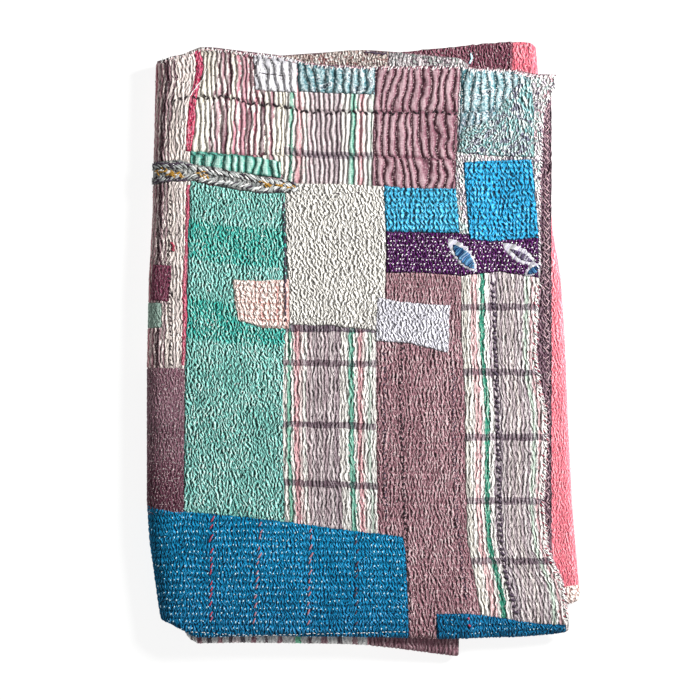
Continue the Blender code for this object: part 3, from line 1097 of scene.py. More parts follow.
# %% The checked length that goes round the outer fold
BAND_SEAM = [(203, 71), (196, 94), (193, 118), (191.5, 144)]
OUTER_LENGTH_STRIPES = (
    (0, "E5D4CF"), (9, "BA999C"), (13, "EFDED8"), (24, "D69CA6"), (28, "EED9D6"), (33, "DC99A5"),
    (37, "EFD4D3"), (40.5, "D48694"), (44, "EBD0CE"), (48, "B88690"), (51, "E9D3CF"), (53, "54333D"),
    (57.5, "A8848B"), (60, "E9D7D2"), (63, "8D6E75"), (65, "EFE0D8"), (70, "D8C6C2"), (72, "F1E3DB"),
    (76, "CDBEBB"), (78, "F1E3DC"),
)
outer_length = washed_cotton("washed_cotton_outer_check", "D8CCC4", "ribs",
    stripes=OUTER_LENGTH_STRIPES, size=(84, 330), depth=0.0)
cut("length_outer", 1, outer_length, left=[(118, 61), (118, 380)],
    right=[(199, 48.5), *BAND_SEAM, (191.5, 165), (190, 191), (188, 247), (186, 287), (188, 306),
           (186, 343), (185, 380)],
    top=[(118, 62.5), (157, 62.5), (171, 57), (186, 54.5), (191, 53.5), (199, 48.5)])

# %% The checked length in the gathered band, left of the middle
BAND_STRIPES = (
    (0, "E2DCCF"), (8, "C4BAA8"), (10, "E7E1D5"), (19.5, "6C4752"), (21.5, "DDD2CD"), (25, "B38A93"),
    (29, "E2D5D1"), (32.5, "7A4F5B"), (38, "E7DFD3"), (44, "CC8595"), (47, "EBDDDB"), (50.5, "C68B98"),
    (57, "EAD7D5"), (59, "784955"), (63, "E9DCD9"), (66, "BB7885"), (70, "EBE3DD"), (73, "66414B"),
    (77, "E9E1D7"), (83, "A47680"), (87, "EBE5DB"), (92, "E0D8C9"),
)
BAND_BARS = ((0, "DEDADA"), (32, "E6E2E2"), (42, "FFFFFF"), (125, "FFFFFF"))
band_length = washed_cotton("washed_cotton_band_check", "E4DAD4", "pleats", stripes=BAND_STRIPES,
    bars=BAND_BARS, size=(97, 125), soft=True, depth=0.05)
cut("length_band", 1, band_length, left=[(199, 48), *BAND_SEAM, (191, 168)],
    right=[(284, 57), (285, 95), (284, 175)],
    top=[(199, 48), (212, 48.5), (233, 51), (250, 53.5), (284, 57)])

# %% The checked length down the middle
MIDDLE_STRIPES = (
    (0, "E9E5DE"), (6.5, "6AAA93"), (11, "EBE6E0"), (14, "D9A4A9"), (20, "E4D0CD"), (24, "EAE6E0"),
    (28, "BAA5A9"), (33, "CFC1C3"), (37, "A49197"), (41, "C5B6B8"), (46, "AB979D"), (52, "C7B9BB"),
    (58, "9E8B92"), (64, "E3DED8"), (70, "ECEAE4"), (74, "6CAE98"), (80, "EBE8E2"), (84, "D39EA3"),
    (89, "E3D2CE"), (92, "EAE7E2"), (96, "B2BFB3"), (99, "E7E4DE"),
)
MIDDLE_BARS = ((0, "F2F0F1"), (95, "AFA5B0"), (104, "E4E1E3"), (200, "E4E1E3"))
middle_upper = washed_cotton("washed_cotton_middle_check_upper", "E6DFDA", "pleats",
    stripes=MIDDLE_STRIPES, bars=MIDDLE_BARS, size=(101, 215), depth=0.0)
cut("length_middle_back", 1, middle_upper, left=[(284, 57), (285, 95), (283, 180), (287, 262)],
    right=[(376, 66), (373, 130), (371.6, 189), (374, 262)],
    top=[(284, 57), (300, 62), (320, 65.5), (360, 68), (376, 67)])
MIDDLE_LOWER_BARS = (
    (0, "FFFFFF"), (22, "86798A"), (35, "FFFFFF"), (66, "A99BA6"), (73, "FFFFFF"), (133.5, "A294A0"),
    (140.5, "FFFFFF"), (199, "9C8E9A"), (206, "FFFFFF"), (265, "FFFFFF"),
)
middle_lower = washed_cotton("washed_cotton_middle_check_lower", "E6DFDA", "ribs",
    stripes=MIDDLE_STRIPES, bars=MIDDLE_LOWER_BARS, size=(101, 260), depth=0.0)
cut("length_middle_front", 1, middle_lower, left=[(283, 300), (281.4, 430), (285, 540)],
    right=[(376, 300), (376, 341), (376, 450), (380, 545)])

# %% The mauve cloth: a wide gathered piece at the back and a long one to the front fold
mauve_gathered = washed_cotton("washed_cotton_mauve_gathered", "845664", "ruffles", depth=0.0,
    pale=0.26)
cut("mauve_back", 1, mauve_gathered, left=[(375, 66), (373, 130), (371.6, 192)],
    right=[(460, 66.5), (457, 130), (454.5, 192)], top=[(375, 66.5), (400, 67), (430, 66), (460, 67)])
HEM_SEAM = [(461, 340), (464.5, 390), (465, 470), (466.5, 530), (469.5, 555), (479, 605), (482, 641)]
mauve_plain = washed_cotton("washed_cotton_mauve", "A3747E", "narrow", depth=0.0, pale=0.5, flecks=0.4,
    groove="2A121C")
cut("mauve_front", 1, mauve_plain,
    left=[(385.6, 268), (384, 300), (376.5, 342), (376.5, 450), (376.5, 531), (380, 560), (382, 641)],
    right=[(461, 268), *HEM_SEAM])

# %% The checked length by the free hem
HEM_STRIPES = (
    (0, "E6E2D9"), (5, "D3CDC3"), (8, "E9E3DD"), (12.5, "D6ADAE"), (15.5, "E4CDCA"), (17, "CFA1A5"),
    (19.5, "EBE6E0"), (23.3, "2D8A70"), (28.8, "EBE7E2"), (34.5, "A3939D"), (38, "C3B7BB"),
    (41, "8A7A85"), (43.5, "C6BBBB"), (47, "AD9DA2"), (51, "D5C9C7"), (55, "B3A4A7"), (60, "D6CAC7"),
    (64, "AD9DA2"), (68, "CEC3C4"), (72, "A3929A"), (74.5, "E3E2DB"), (77, "B9CABB"), (80, "E8E5E0"),
    (83, "CDA6AA"), (86, "E8DEDB"),
)
HEM_BARS = (
    (0, "FFFFFF"), (38.5, "A699A6"), (46.5, "FFFFFF"), (109.5, "A396A3"), (118, "FFFFFF"),
    (181.5, "A294A2"), (189.5, "FFFFFF"), (252.5, "A396A3"), (260.5, "FFFFFF"), (319.5, "A598A5"),
    (328, "FFFFFF"), (395, "FFFFFF"),
)
hem_length = washed_cotton("washed_cotton_hem_check", "E2D9D4", "ribs", stripes=HEM_STRIPES,
    bars=HEM_BARS, size=(88, 400), depth=0.0)
cut("length_hem", 1, hem_length, left=[(460.5, 268), *HEM_SEAM],
    right=[(540, 268), (538.6, 306), (537, 356), (541.5, 389), (546.5, 407), (547.5, 436), (546.4, 466),
           (544, 505), (548.5, 549), (556, 566), (563.5, 583), (567.6, 599), (568.6, 616),
           (569.5, 640)])

# %% The checked strip at the back corner, by the free hem
CORNER_COLOURS = (
    "F4F2EE", "B9A6B4", "EFE8E8", "7A6C84", "EADFE2", "F4F1EE", "B4CFCC", "F6F3F0", "C08E9B", "E6E1E2",
)
corner_length = washed_cotton("printed_cotton_corner", "DDD5D0", "seeds", blotch=(12, CORNER_COLOURS),
    depth=0.25)
cut("length_corner", 1, corner_length, left=[(460, 66.5), (457, 130), (454, 192), (456, 240)],
    right=[(556.5, 75), (555, 85), (552, 95), (545.4, 105), (543.4, 120), (542.4, 150), (540.4, 190),
           (540.4, 278)], top=[(460, 67), (475, 69), (510, 70), (535, 75), (545, 74), (556.5, 75)])

# %% [markdown]
# ## The green and the aubergine
#
# The green cloth has wide bands woven across it, some deep and some pale, that change within a
# few millimetres. The aubergine piece goes round the outer fold and darkens near its end.

# %% The green pieces
GREEN_BANDS = (
    (0, "DAE9E5"), (40, "D4E5E2"), (43, "6AD0C7"), (83, "6AD2CB"), (86, "DDECEA"), (126, "D6E9E5"),
    (129, "67D1C8"), (170, "6AD0C9"), (174, "D9EBE7"), (250, "CCDFDB"), (370, "D0E1DF"),
)
green_banded = washed_cotton("washed_cotton_green_banded", "AEFCF2", "knit", bars=GREEN_BANDS,
    size=(104, 370), soft=True, depth=0.0, pale=0.62, groove="03302A")
cut("green_long", 1, green_banded,
    left=[(190, 180), (188, 247), (186.5, 300), (184.5, 400), (183, 522)],
    right=[(286, 192), (286.5, 260), (286, 330), (283, 430), (285, 530)],
    top=[(190, 180), (210, 185), (240, 190), (286, 192)])
green_plain = washed_cotton("washed_cotton_green", "5AA696", "ruffles", depth=0.1, pale=0.5,
    groove="07443A")
cut("green_strip", 2, green_plain, left=[(190, 151), (189.5, 168)], right=[(281, 161), (281, 178)],
    top=[(190, 151), (215, 152.5), (250, 156), (281, 161.5)])

# %% The aubergine, plum and sage pieces on the outer fold
AUBERGINE_BANDS = (
    (0, "F2EAEC"), (50, "FFFFFF"), (70, "D8CDD2"), (90, "F4EEF0"), (118, "BC92A8"), (160, "B489A0"),
)
aubergine = washed_cotton("washed_cotton_aubergine", "8A6371", bars=AUBERGINE_BANDS, size=(84, 160),
    soft=True, depth=0.4, pale=0.1, flecks=0.55)
cut("aubergine_patch", 2, aubergine, left=[(118, 368), (118, 516)],
    right=[(184.5, 368), (184, 430), (184, 516)])
plum = washed_cotton("washed_cotton_plum", "803E57", depth=0.45, pale=0.1, flecks=0.3)
cut("plum_patch", 2, plum, left=[(152.5, 264), (150.5, 300)], right=[(172, 265), (169, 302)])
sage = washed_cotton("washed_cotton_sage", "9DBDAE", depth=0.45)
cut("sage_patch", 2, sage, left=[(132, 301), (132, 329)], right=[(162, 303), (161.6, 328)])

# %% [markdown]
# ## The plain patches
#
# Small patches mend the worn places: cream, lavender and blush, two sky-blue ones, deep
# purple, and two in the blue of the front corner. The big blue one goes round the outer fold
# and round the front fold.

# %% The cream, lavender and blush patches
cream = washed_cotton("washed_cotton_cream", "F6F2EA", "seeds", depth=0.2)
cut("cream_patch", 2, cream, left=[(284, 183), (286, 250), (289, 325)],
    right=[(384.5, 186), (385.5, 240), (385, 298), (376.5, 331)],
    top=[(284, 183), (330, 183.5), (384.5, 186)], bottom=[(289, 325), (330, 326), (376.5, 331)])
lavender = washed_cotton("washed_cotton_lavender", "ECEAF4", "seeds", depth=0.2)
cut("lavender_patch", 3, lavender, left=[(377, 297), (375.7, 341)], right=[(450, 305.5), (448, 353)],
    top=[(377, 297), (400, 302), (450, 305.5)], bottom=[(375.7, 341), (410, 344), (448, 353)])
BLUSH_STRIPES = (
    (0, "FBE9E0"), (30, "E0A8A2"), (31.2, "FAEAE2"), (47, "D49690"), (48.6, "FAE8E0"), (56, "F0C8C2"),
)
BLUSH_BARS = (
    (0, "FFFFFF"), (23, "EEC6C0"), (24.2, "FFFFFF"), (40, "E9B9B2"), (41.4, "FFFFFF"), (53, "FFFFFF"),
)
blush = washed_cotton("washed_cotton_blush_check", "F6E3DA", "blocks", stripes=BLUSH_STRIPES,
    bars=BLUSH_BARS, size=(62, 53), depth=0.38, groove="C48880")
cut("blush_patch", 3, blush, left=[(232, 280), (235, 305), (238, 320)],
    right=[(289, 279.5), (289, 329)], top=[(232, 280), (260, 280.5), (289, 279.5)],
    bottom=[(238, 320), (262, 328), (289, 329)])

# %% The sky-blue patches
sky_pale = washed_cotton("washed_cotton_sky_blue_faded", "4AC0EC", "blocks", depth=0.0, pale=0.22,
    flecks=0.1, groove="062840")
sky = washed_cotton("washed_cotton_sky_blue", "2CAEE4", "blocks", depth=0.0, pale=0.17, flecks=0.1,
    groove="041E38")
cut("sky_patch_middle", 3, sky_pale, left=[(383.5, 185), (385.7, 232)],
    right=[(456, 188.4), (459.5, 233)], top=[(383.5, 185), (405, 188), (456, 188.4)])
cut("sky_patch_hem", 3, sky, left=[(463, 162), (466, 200), (469, 239.6)],
    right=[(532, 158.7), (536, 200), (538.7, 238)], bottom=[(469, 239.6), (490, 241.6), (538.7, 238)])

# %% The deep purple patch
purple = washed_cotton("washed_cotton_purple", "4E0C56", "slants", depth=0.0, pale=0.0, flecks=0.28,
    groove="12021A")
cut("purple_patch", 2, purple, left=[(385.5, 231), (386, 273)], right=[(539, 236), (539, 278)],
    bottom=[(386, 273), (420, 273), (462, 276), (500, 272), (539, 278)])

# %% Leaves on the purple patch
LEAF_POINTS = 15
LEAF_SHARES = np.linspace(0, 1, LEAF_POINTS)
LEAF_TEETH = 0.87 + 0.13 * np.cos(math.pi * np.arange(LEAF_POINTS))


def leaf(name, tip, foot, width, finish, level):
    """A pointed leaf between two places in the photograph."""
    tip, foot = np.array(tip, float), np.array(foot, float)
    way = (foot - tip) / np.linalg.norm(foot - tip)
    side = np.array((-way[1], way[0]))
    spine = tip + (foot - tip) * LEAF_SHARES[:, None]
    bulge = side * (width / 2 * LEAF_TEETH * np.sin(math.pi * LEAF_SHARES) ** 0.8 + 0.2)[:, None]
    cut(name, level, finish, left=spine + bulge, right=spine - bulge)


leaf_white = washed_cotton("printed_cotton_leaf_white", "E6E4EE", depth=0.3,
    blotch=(3.0, ("8E7BA0", "FFFFFF", "D5D0E2", "FFFFFF", "F6F4F8", "A493B8")))
leaf_blue = washed_cotton("printed_cotton_leaf_blue", "2C66A8", depth=0.3, pale=0.1,
    blotch=(2.6, ("1A3F78", "2E74B4", "0F2C58", "6FB0DA", "245C9E", "C4D8EC")))
leaf_dark = washed_cotton("printed_cotton_leaf_dark", "3B2A47", depth=0.3, pale=0.1,
    blotch=(3.0, ("3B1F4A", "7A6890", "2A1636", "C9C2D6", "452A55")))
leaf("leaf_first", (448, 238), (477, 272), 21, leaf_white, 3)
leaf("leaf_first_middle", (453, 245), (475, 269), 13, leaf_blue, 4)
leaf("leaf_second", (502, 243), (537, 265), 18, leaf_white, 3)
leaf("leaf_second_middle", (511, 249), (533, 262), 7, leaf_dark, 4)
leaf("leaf_third", (525, 276), (540, 264), 12, leaf_white, 3)
leaf("leaf_third_middle", (528, 274.5), (539, 266), 7, leaf_blue, 4)

# %% The blue patches at the front
# painted shade: these bars darken the blue towards the front fold
BLUE_PAINTED_SHADE = ((0, "FFFFFF"), (60, "F2F6FA"), (118, "C9D6E0"), (160, "BCCBD6"))
blue = washed_cotton("washed_cotton_blue_painted_shade_to_front", "0094C8", "close", bars=BLUE_PAINTED_SHADE, size=(330, 150),
    soft=True, depth=0.0, pale=0.1, flecks=0.0, groove="011C3C")
# painted shade: a darker copy of the blue, for the corner patch by the front fold
painted_shade_blue = washed_cotton("washed_cotton_painted_shade_blue", "0076A8", "close", depth=0.0, pale=0.05,
    flecks=0.0, groove="011C3A")
cut("blue_front", 2, blue, left=[(112, 499), (112, 597)],
    right=[(403, 536), (406, 552), (408, 600), (409.5, 641)],
    top=[(112, 500), (148, 505), (172, 511), (198, 512.5), (247, 517), (290, 522), (356, 531),
           (403, 536)],
    bottom=[(112, 601), (157, 607), (161.5, 622), (174, 632), (189, 639), (196, 641), (409.5, 641)])
cut("blue_corner", 3, painted_shade_blue, left=[(436, 614), (437, 641)], right=[(566, 625.5), (569, 641)],
    top=[(436, 614), (460, 613), (475, 614.5), (500, 617.5), (520, 622), (545, 624.5), (566, 625.5)])

# %% [markdown]
# ## The printed patches and the white one
#
# Two patches of an aqua block print sit in the gathered band. The print is a loose all-over
# one of small blots, so a noise pattern with a few flat colours stands for it. The lilac-white
# patch beside it is very puckered.

# %% The aqua prints and the lilac-white patch
AQUA_COLOURS = ("ACC0C4", "558B94", "93AFB3", "336A75", "66949C", "C6D2D5", "3A5363", "8AA5AC")
AQUA_BANDS = ((0, "FFFFFF"), (40, "F2F6F7"), (60, "D6D0DA"), (95, "CFC8D4"))
aqua = washed_cotton("block_printed_cotton_aqua", "B4D8D8", "crumple", blotch=(10, AQUA_COLOURS),
    bars=AQUA_BANDS, size=(80, 95), soft=True, depth=0.0)
cut("aqua_patch_middle", 2, aqua, left=[(297, 61.5), (298, 92)], right=[(375.5, 67), (374.5, 95)],
    top=[(297, 61.5), (320, 66), (360, 68.5), (375.5, 67.5)],
    bottom=[(298, 92), (330, 93.5), (374.5, 95)])
cut("aqua_patch_hem", 2, aqua, left=[(461, 67.5), (460, 110), (457, 150)],
    right=[(530, 76), (533, 110), (533, 157)], top=[(461, 67.5), (475, 69.5), (510, 70.5), (530, 76)],
    bottom=[(457, 152), (490, 156), (533, 157)])
AQUA_LOW_COLOURS = (
    "91C2C1", "CBDDDB", "7F8396", "A7CAC9", "76AFB1", "D2DFDE", "6F7188", "BBD3D2", "85B8B9",
)
aqua_low = washed_cotton("block_printed_cotton_aqua_low", "B4D8D8", "seeds",
    blotch=(22, AQUA_LOW_COLOURS), depth=0.1)
cut("aqua_patch_low", 3, aqua_low, left=[(461, 128), (457, 152)],
    right=[(531, 79), (534, 110), (534, 157)],
    top=[(461, 128), (478, 124), (494, 117), (503, 102), (515, 86), (531, 79)],
    bottom=[(457, 152), (490, 156), (534, 157)])
lilac = washed_cotton("washed_cotton_lilac_white", "CFCDD3", "crumple", depth=0.05)
cut("lilac_patch", 3, lilac, left=[(253.5, 54), (255, 90)], right=[(297, 60.5), (297, 93)],
    top=[(253.5, 54), (275, 56), (297, 60.5)], bottom=[(255, 90), (275, 92), (297, 93)])

# %% [markdown]
# ## The braided seam and the crimson edge
#
# A flat plait of grey strips is sewn over a seam, from the outer fold to the middle, with
# white and ochre yarn in it. A narrow crimson strip edges the outer length.

# %% The braid and the crimson strip
PLAIT_COLOURS = ("747979", "9A9C99", "595D5F", "A8A7A1")
grey_plait = washed_cotton("plaited_cotton_grey", "99A1A0", "plait", blotch=(7, PLAIT_COLOURS),
    depth=0.15)
cut("braid", 3, grey_plait, left=[(128, 163), (128, 186)], right=[(297, 183), (297.5, 192)],
    top=[(128, 163), (154, 162), (180, 160), (188, 163), (215, 167), (235, 171), (260, 176), (280, 180),
           (297, 183)],
    bottom=[(128, 186), (154, 185), (165, 182), (190, 181), (210, 184), (230, 189), (250, 192),
           (265, 194), (280, 193), (297.5, 192)])
CRIMSON_COLOURS = ("B92A50", "CC3A62", "D9557A", "C22E58", "E07A92", "C8365E")
crimson = washed_cotton("washed_cotton_crimson", "CC3A62", depth=0.35, flecks=0.35,
    blotch=(12, CRIMSON_COLOURS))
cut("crimson_strip", 2, crimson,
    left=[(194, 52), (196, 66), (195, 78), (190, 94), (188.5, 106), (187.5, 118), (186, 134),
           (185.5, 152)],
    right=[(200, 49), (204, 66), (201, 80), (198, 94), (195.5, 106), (195.5, 118), (194, 134),
           (190.5, 152)])
rose = washed_cotton("washed_cotton_rose", "CC5A74", depth=0.3, flecks=0.5)
cut("rose_strip", 2, rose, left=[(186, 185), (184.5, 247), (181.5, 287), (182.5, 306), (181, 366)],
    right=[(190, 185), (187.5, 247), (186, 287), (187.5, 306), (184.5, 366)])

# %% [markdown]
# ## What shows of the layers below
#
# Beyond the cover's hem lie the coral back of the quilt, which goes round the right fold, and
# a mauve strip of the cover's lower ply. The heart's striped end shows at the front and its
# printed end at the back, with the lining's mauve end behind it.

# %% The coral and mauve of the lining
CORAL_BANDS = ((0, "E2D2DA"), (30, "E6D8DE"), (60, "FFFFFF"), (480, "FFFFFF"), (620, "F4F0F2"))
coral = washed_cotton("washed_cotton_coral", "FD8090", bars=CORAL_BANDS, size=(100, 620), soft=True,
    depth=0.4, pale=0.3, flecks=0.4)
cut("coral_back", 1, coral, left=[(512, 42), (520, 200), (530, 400), (536, 606)],
    right=[(600, 47.5), (600, 606)],
    top=[(512, 42), (516, 41), (529, 41.5), (534, 44), (537, 46), (600, 47.5)], face="lining", seed=21)
cut("coral_end", 2, blush, left=[(556, 588), (558, 606)], right=[(600, 584), (600, 606)], face="lining",
    seed=22)
mauve_lining = washed_cotton("washed_cotton_mauve_lining", "854A5C", "slants", depth=0.0, pale=0.16,
    flecks=0.5)
cut("mauve_lining", 1, mauve_lining, left=[(388, 53), (388, 84)], right=[(513, 41.5), (513, 84)],
    top=[(388, 52.4), (430, 48.3), (473, 43.8), (491, 41.8), (513, 40.4)], face="lining", seed=21)

# %% The strip of the cover's lower ply
mauve_under = washed_cotton("washed_cotton_mauve_under", "765565", "slants", depth=0.1, pale=0.15,
    flecks=0.35)
cut("mauve_under_hem", 1, mauve_under, left=[(532, 84), (530, 200), (528, 340), (532, 480), (530, 570)],
    right=[(552, 84), (552, 200), (552.2, 340), (552.2, 480), (552.2, 570)], seed=23,
    under=-OUTER_REACH - HALF_STEP + PLY_THICKNESS / 2)

# %% The heart's ends
HEART_FRONT_STRIPES = (
    (0, "C1BBC3"), (4, "FFFFFF"), (8, "817981"), (11, "FFFFFF"), (16, "A67684"), (21, "FFFFFF"),
    (27, "665F6A"), (31, "FFFFFF"), (38, "C18693"), (44, "FFFFFF"), (50, "7B6671"), (54, "FFF0F3"),
    (63, "6D666F"), (68, "FFFFFF"), (76, "AC7B89"), (81, "FFFFFF"), (90, "74646D"), (94, "FFFFFF"),
    (104, "BB8B99"), (110, "FFFFFF"), (124, "83EABD"), (130, "FFFFFF"), (138, "816C76"),
    (143, "FFFFFF"), (152, "BB919E"), (160, "FFFFFF"), (170, "7B6F79"), (176, "FFFDFD"),
    (186, "C199A3"), (193, "FFFFFF"), (203, "D98497"),
)
heart_striped = washed_cotton("washed_cotton_heart_stripes", "C9BFBC", "narrow",
    stripes=HEART_FRONT_STRIPES, size=(206, 40), depth=0.6)
cut("heart_front_striped", 1, heart_striped, left=[(184, 608), (184, 652)],
    right=[(369, 608), (369, 652)], face="heart", seed=25)
mauve_heart = washed_cotton("washed_cotton_mauve_heart", "A37280", "ribs", depth=0.2)
cut("heart_front_mauve", 1, mauve_heart, left=[(369, 608), (369, 654)], right=[(456, 608), (459, 664)],
    face="heart", seed=25)
HEART_BACK_COLOURS = (
    "B09A8C", "DDD0C6", "54403C", "C4AEA4", "8A5A58", "E6DED8", "A0948C", "603A40", "CDBEB6",
)
heart_printed = washed_cotton("block_printed_cotton_heart", "C9B8AC", blotch=(11, HEART_BACK_COLOURS),
    depth=0.2)
cut("heart_back_printed", 1, heart_printed, left=[(284, 55), (284, 82)], right=[(388, 51.6), (388, 84)],
    top=[(284, 55), (310, 53.8), (335, 51.2), (350, 50), (366, 49.6), (388, 51.6)], face="heart",
    seed=25)
HEART_GREY_COLOURS = (
    "AFACAA", "454047", "DCD2D3", "848B8B", "E3D6D8", "64505D", "A0A5A1", "59766D", "CEC1C4",
)
heart_grey = washed_cotton("block_printed_cotton_heart_grey", "B9C0BA", blotch=(9, HEART_GREY_COLOURS),
    depth=0.2)
cut("heart_back_grey", 1, heart_grey, left=[(388, 51.6), (388, 84)], right=[(468.5, 64), (468.5, 84)],
    top=[(388, 51.6), (416, 54.2), (443, 56.4), (460, 58.2), (468.5, 64)], face="heart", seed=25)
print("pieces cut:", len(panels))

# %% Sew on every piece
pieces = {name: sew(name) for name in panels}
triangles = sum(len(piece.data.loops) - 2 * len(piece.data.polygons) for piece in pieces.values())
print("triangles of the pieces:", triangles)

# %% [markdown]
# ## The sewing
#
# Thousands of hand stitches show: blued running stitches on the blue, lilac and white ones on
# the purple, red, dusty and slate tacking on the blue, whipped edges, and dark threads that
# draw the ruffles together. Each shows as a short, rounded bit of thread. Geometry Nodes put one
# small closed seed of thread on each point, turn it along its own stitch and scale it, so the
# script only has to say where the stitches are and which way they lie.

# %% Where a stitch lies
THREADS = {
    "white_thread": "FAF9F6",
    "blued_thread": "CDF3FF",
    "lilac_thread": "C9A0D0",
    "rose_thread": "E3BFC3",
    "red_thread": "B24258",
    "dusty_thread": "B27884",
    "dark_thread": "2E2229",
    "slate_thread": "4F4152",
    "ochre_thread": "B98A35",
    "grey_thread": "B1B5B3",
}
LOWEST_STITCH = 2.0
STITCH_PARTS = (-0.7, 0, 0.7)
HIGHEST_SHARE = 0.6
MEAN_SHARE = 0.4
STITCH_RISE = 0.25
STITCH_FLATNESS = 0.7
RAY_START = 6.0
RAY_START_UNDER = 3.0
RAY_LENGTH = 0.012
stitches = {name: [] for name in THREADS}
surfaces = {}
for piece_name, piece in pieces.items():
    plane = (panels[piece_name]["face"], panels[piece_name]["under"])
    tree = BVHTree.FromObject(piece, bpy.context.evaluated_depsgraph_get())
    surfaces.setdefault(plane, []).append(tree)


def top_lift(face, x, y, under=0.0):
    """How far the top of the cloth stands above a face at some places, found with rays."""
    start_lift = under + (RAY_START_UNDER if under else RAY_START)
    starts = to_metres(cloth_point(face, x, y, start_lift))
    ways = to_metres(cloth_point(face, x, y, start_lift - 1)) - starts
    lifts = np.full(len(starts), float(under))
    for index, (start, way) in enumerate(zip(starts.tolist(), ways.tolist())):
        hits = [tree.ray_cast(start, way, RAY_LENGTH)[3] for tree in surfaces[(face, under)]]
        hits = [distance for distance in hits if distance is not None]
        if hits:
            lifts[index] = start_lift - min(hits) / MM
    return lifts


def lay(thread, face, x, y, angle, length, width, under=0.0):
    """Lays stitches: places on a face, turned by an angle from across, with length and width."""
    x, y = np.asarray(x, float), np.asarray(y, float)
    angle, length, width = (np.broadcast_to(np.asarray(size, float), x.shape)
                            for size in (angle, length, width))
    step_x, step_y = np.cos(angle) * length / 2, np.sin(angle) * length / 2
    lifts = [top_lift(face, x + part * step_x, y + part * step_y, under) for part in STITCH_PARTS]

    # it lies between the highest cloth under it and the mean, raised by a part of its width
    lift = HIGHEST_SHARE * np.maximum.reduce(lifts) + MEAN_SHARE * sum(lifts) / len(lifts)
    lift = lift + STITCH_RISE * width
    middle = cloth_point(face, x, y, lift)
    ahead, behind = (cloth_point(face, x + side * step_x, y + side * step_y, lift) for side in (1, -1))
    up = cloth_point(face, x, y, lift + 1) - middle
    size = np.stack((length, width, STITCH_FLATNESS * width), axis=-1)
    laid = np.concatenate((middle, ahead - behind, up, size), axis=-1)
    stitches[thread].append(laid[middle[:, 2] > LOWEST_STITCH])


def lay_along(thread, spacing, angle, length, width, wander, seed, line, zigzag=False,
              face="cover", under=0.0):
    """Lays stitches along a photograph's line, turned by an angle from the line."""
    chance = np.random.default_rng(seed)
    chalked = chalk_line(face, line)
    count = max(2, round(measured(chalked) / spacing))
    shares = (np.arange(count) + 0.5 + chance.uniform(-0.25, 0.25, count)) / count
    places = share_along(chalked, shares)
    ahead = share_along(chalked, np.minimum(shares + 0.01, 1)) - share_along(chalked, shares - 0.01)
    swing = (-1) ** np.arange(count) if zigzag else 1
    angles = np.arctan2(ahead[:, 1], ahead[:, 0]) + angle * swing + chance.normal(0, 0.12, count)
    places = places + chance.normal(0, wander, places.shape)
    lengths = length * chance.uniform(0.8, 1.2, count)
    lay(thread, face, places[:, 0], places[:, 1], angles, lengths, width, under)


# %% Running stitches all over a piece
EDGE_MARGIN = 2.0
PLACE_SPREAD = 0.18
ROW_SPREAD = 0.09
TURN_SPREAD = 0.3
EVEN = ((0, 1),)


def lay_all_over(thread, name, spacing, row, angle, length, width, share, seed, thinning=EVEN):
    """Lays a share of the stitches of a piece: in rows, set over by half from row to row.

    thinning says what part of that share is left, at millimetres from the piece's left edge."""
    panel = panels[name]
    chance = np.random.default_rng(seed)
    low, high = panel["outline"].min(axis=0), panel["outline"].max(axis=0)
    rows = np.arange(low[1], high[1], row)
    columns = np.arange(low[0], high[0], spacing)
    x, y = np.meshgrid(columns, rows)
    x = x + spacing * 0.5 * (np.arange(len(rows)) % 2)[:, None]
    x = x + chance.normal(0, PLACE_SPREAD * spacing, x.shape)
    y = y + 0.3 * row * drift(x, y, 40, 60, seed + 30) + chance.normal(0, ROW_SPREAD * row, y.shape)
    x, y = x.reshape(-1), y.reshape(-1)
    share = share * np.interp(x - low[0], *zip(*thinning))
    kept = chance.uniform(0, 1, x.shape) < share * (1 + 0.5 * drift(x, y, 45, 35, seed + 31))
    for side_x, side_y in ((-1, 0), (1, 0), (0, -1), (0, 1)):
        kept &= inside(panel["outline"], x + EDGE_MARGIN * side_x, y + EDGE_MARGIN * side_y)
    kept &= ~covered(panel, x, y)
    x, y = x[kept], y[kept]
    angles = angle + chance.normal(0, TURN_SPREAD, x.shape)
    lengths = length * chance.uniform(0.7, 1.3, x.shape)
    widths = width * chance.uniform(0.8, 1.2, x.shape)
    lay(thread, panel["face"], x, y, angles, lengths, widths, panel["under"])


BLUE_THINNING = ((40, 0.25), (62, 0.45), (75, 1.0), (190, 0.95), (235, 0.45), (330, 0.6))
RUNNING_STITCHES = (
    # thread, piece, spacing, row, angle, length, width, share, seed
    ("blued_thread", "blue_front", 5.6, 7.6, 1.3, 2.3, 1.3, 0.85, 2, BLUE_THINNING),
    ("blued_thread", "blue_corner", 4.8, 5.0, 1.25, 1.8, 1.0, 0.4, 2),
    ("lilac_thread", "purple_patch", 3.6, 4.0, 1.2, 2.1, 1.0, 0.5, 3),
    ("white_thread", "purple_patch", 5.0, 5.0, 0.9, 2.2, 1.4, 0.68, 4),
    ("rose_thread", "mauve_front", 4.3, 4.6, 1.2, 2.2, 1.0, 0.55, 5),
    ("rose_thread", "aubergine_patch", 3.4, 4.2, 1.2, 1.5, 0.7, 0.45, 7),
    ("white_thread", "green_long", 6.5, 7.0, 0.9, 2.2, 0.9, 0.35, 8),
    ("dark_thread", "length_outer", 6.0, 7.2, 1.1, 2.2, 0.9, 0.2, 11),
    ("slate_thread", "cream_patch", 6.4, 7.4, 0.5, 2.0, 0.7, 0.4, 14),
    ("dark_thread", "length_hem", 6.0, 8.0, 1.3, 2.4, 0.9, 0.3, 12),
    ("dark_thread", "length_middle_front", 6.5, 8.0, 1.3, 2.4, 0.8, 0.16, 13),
)
for stitch_row in RUNNING_STITCHES:
    lay_all_over(*stitch_row)


# %% Beads of thread in the grooves of the ruffles
GROOVE_STEPS = 400


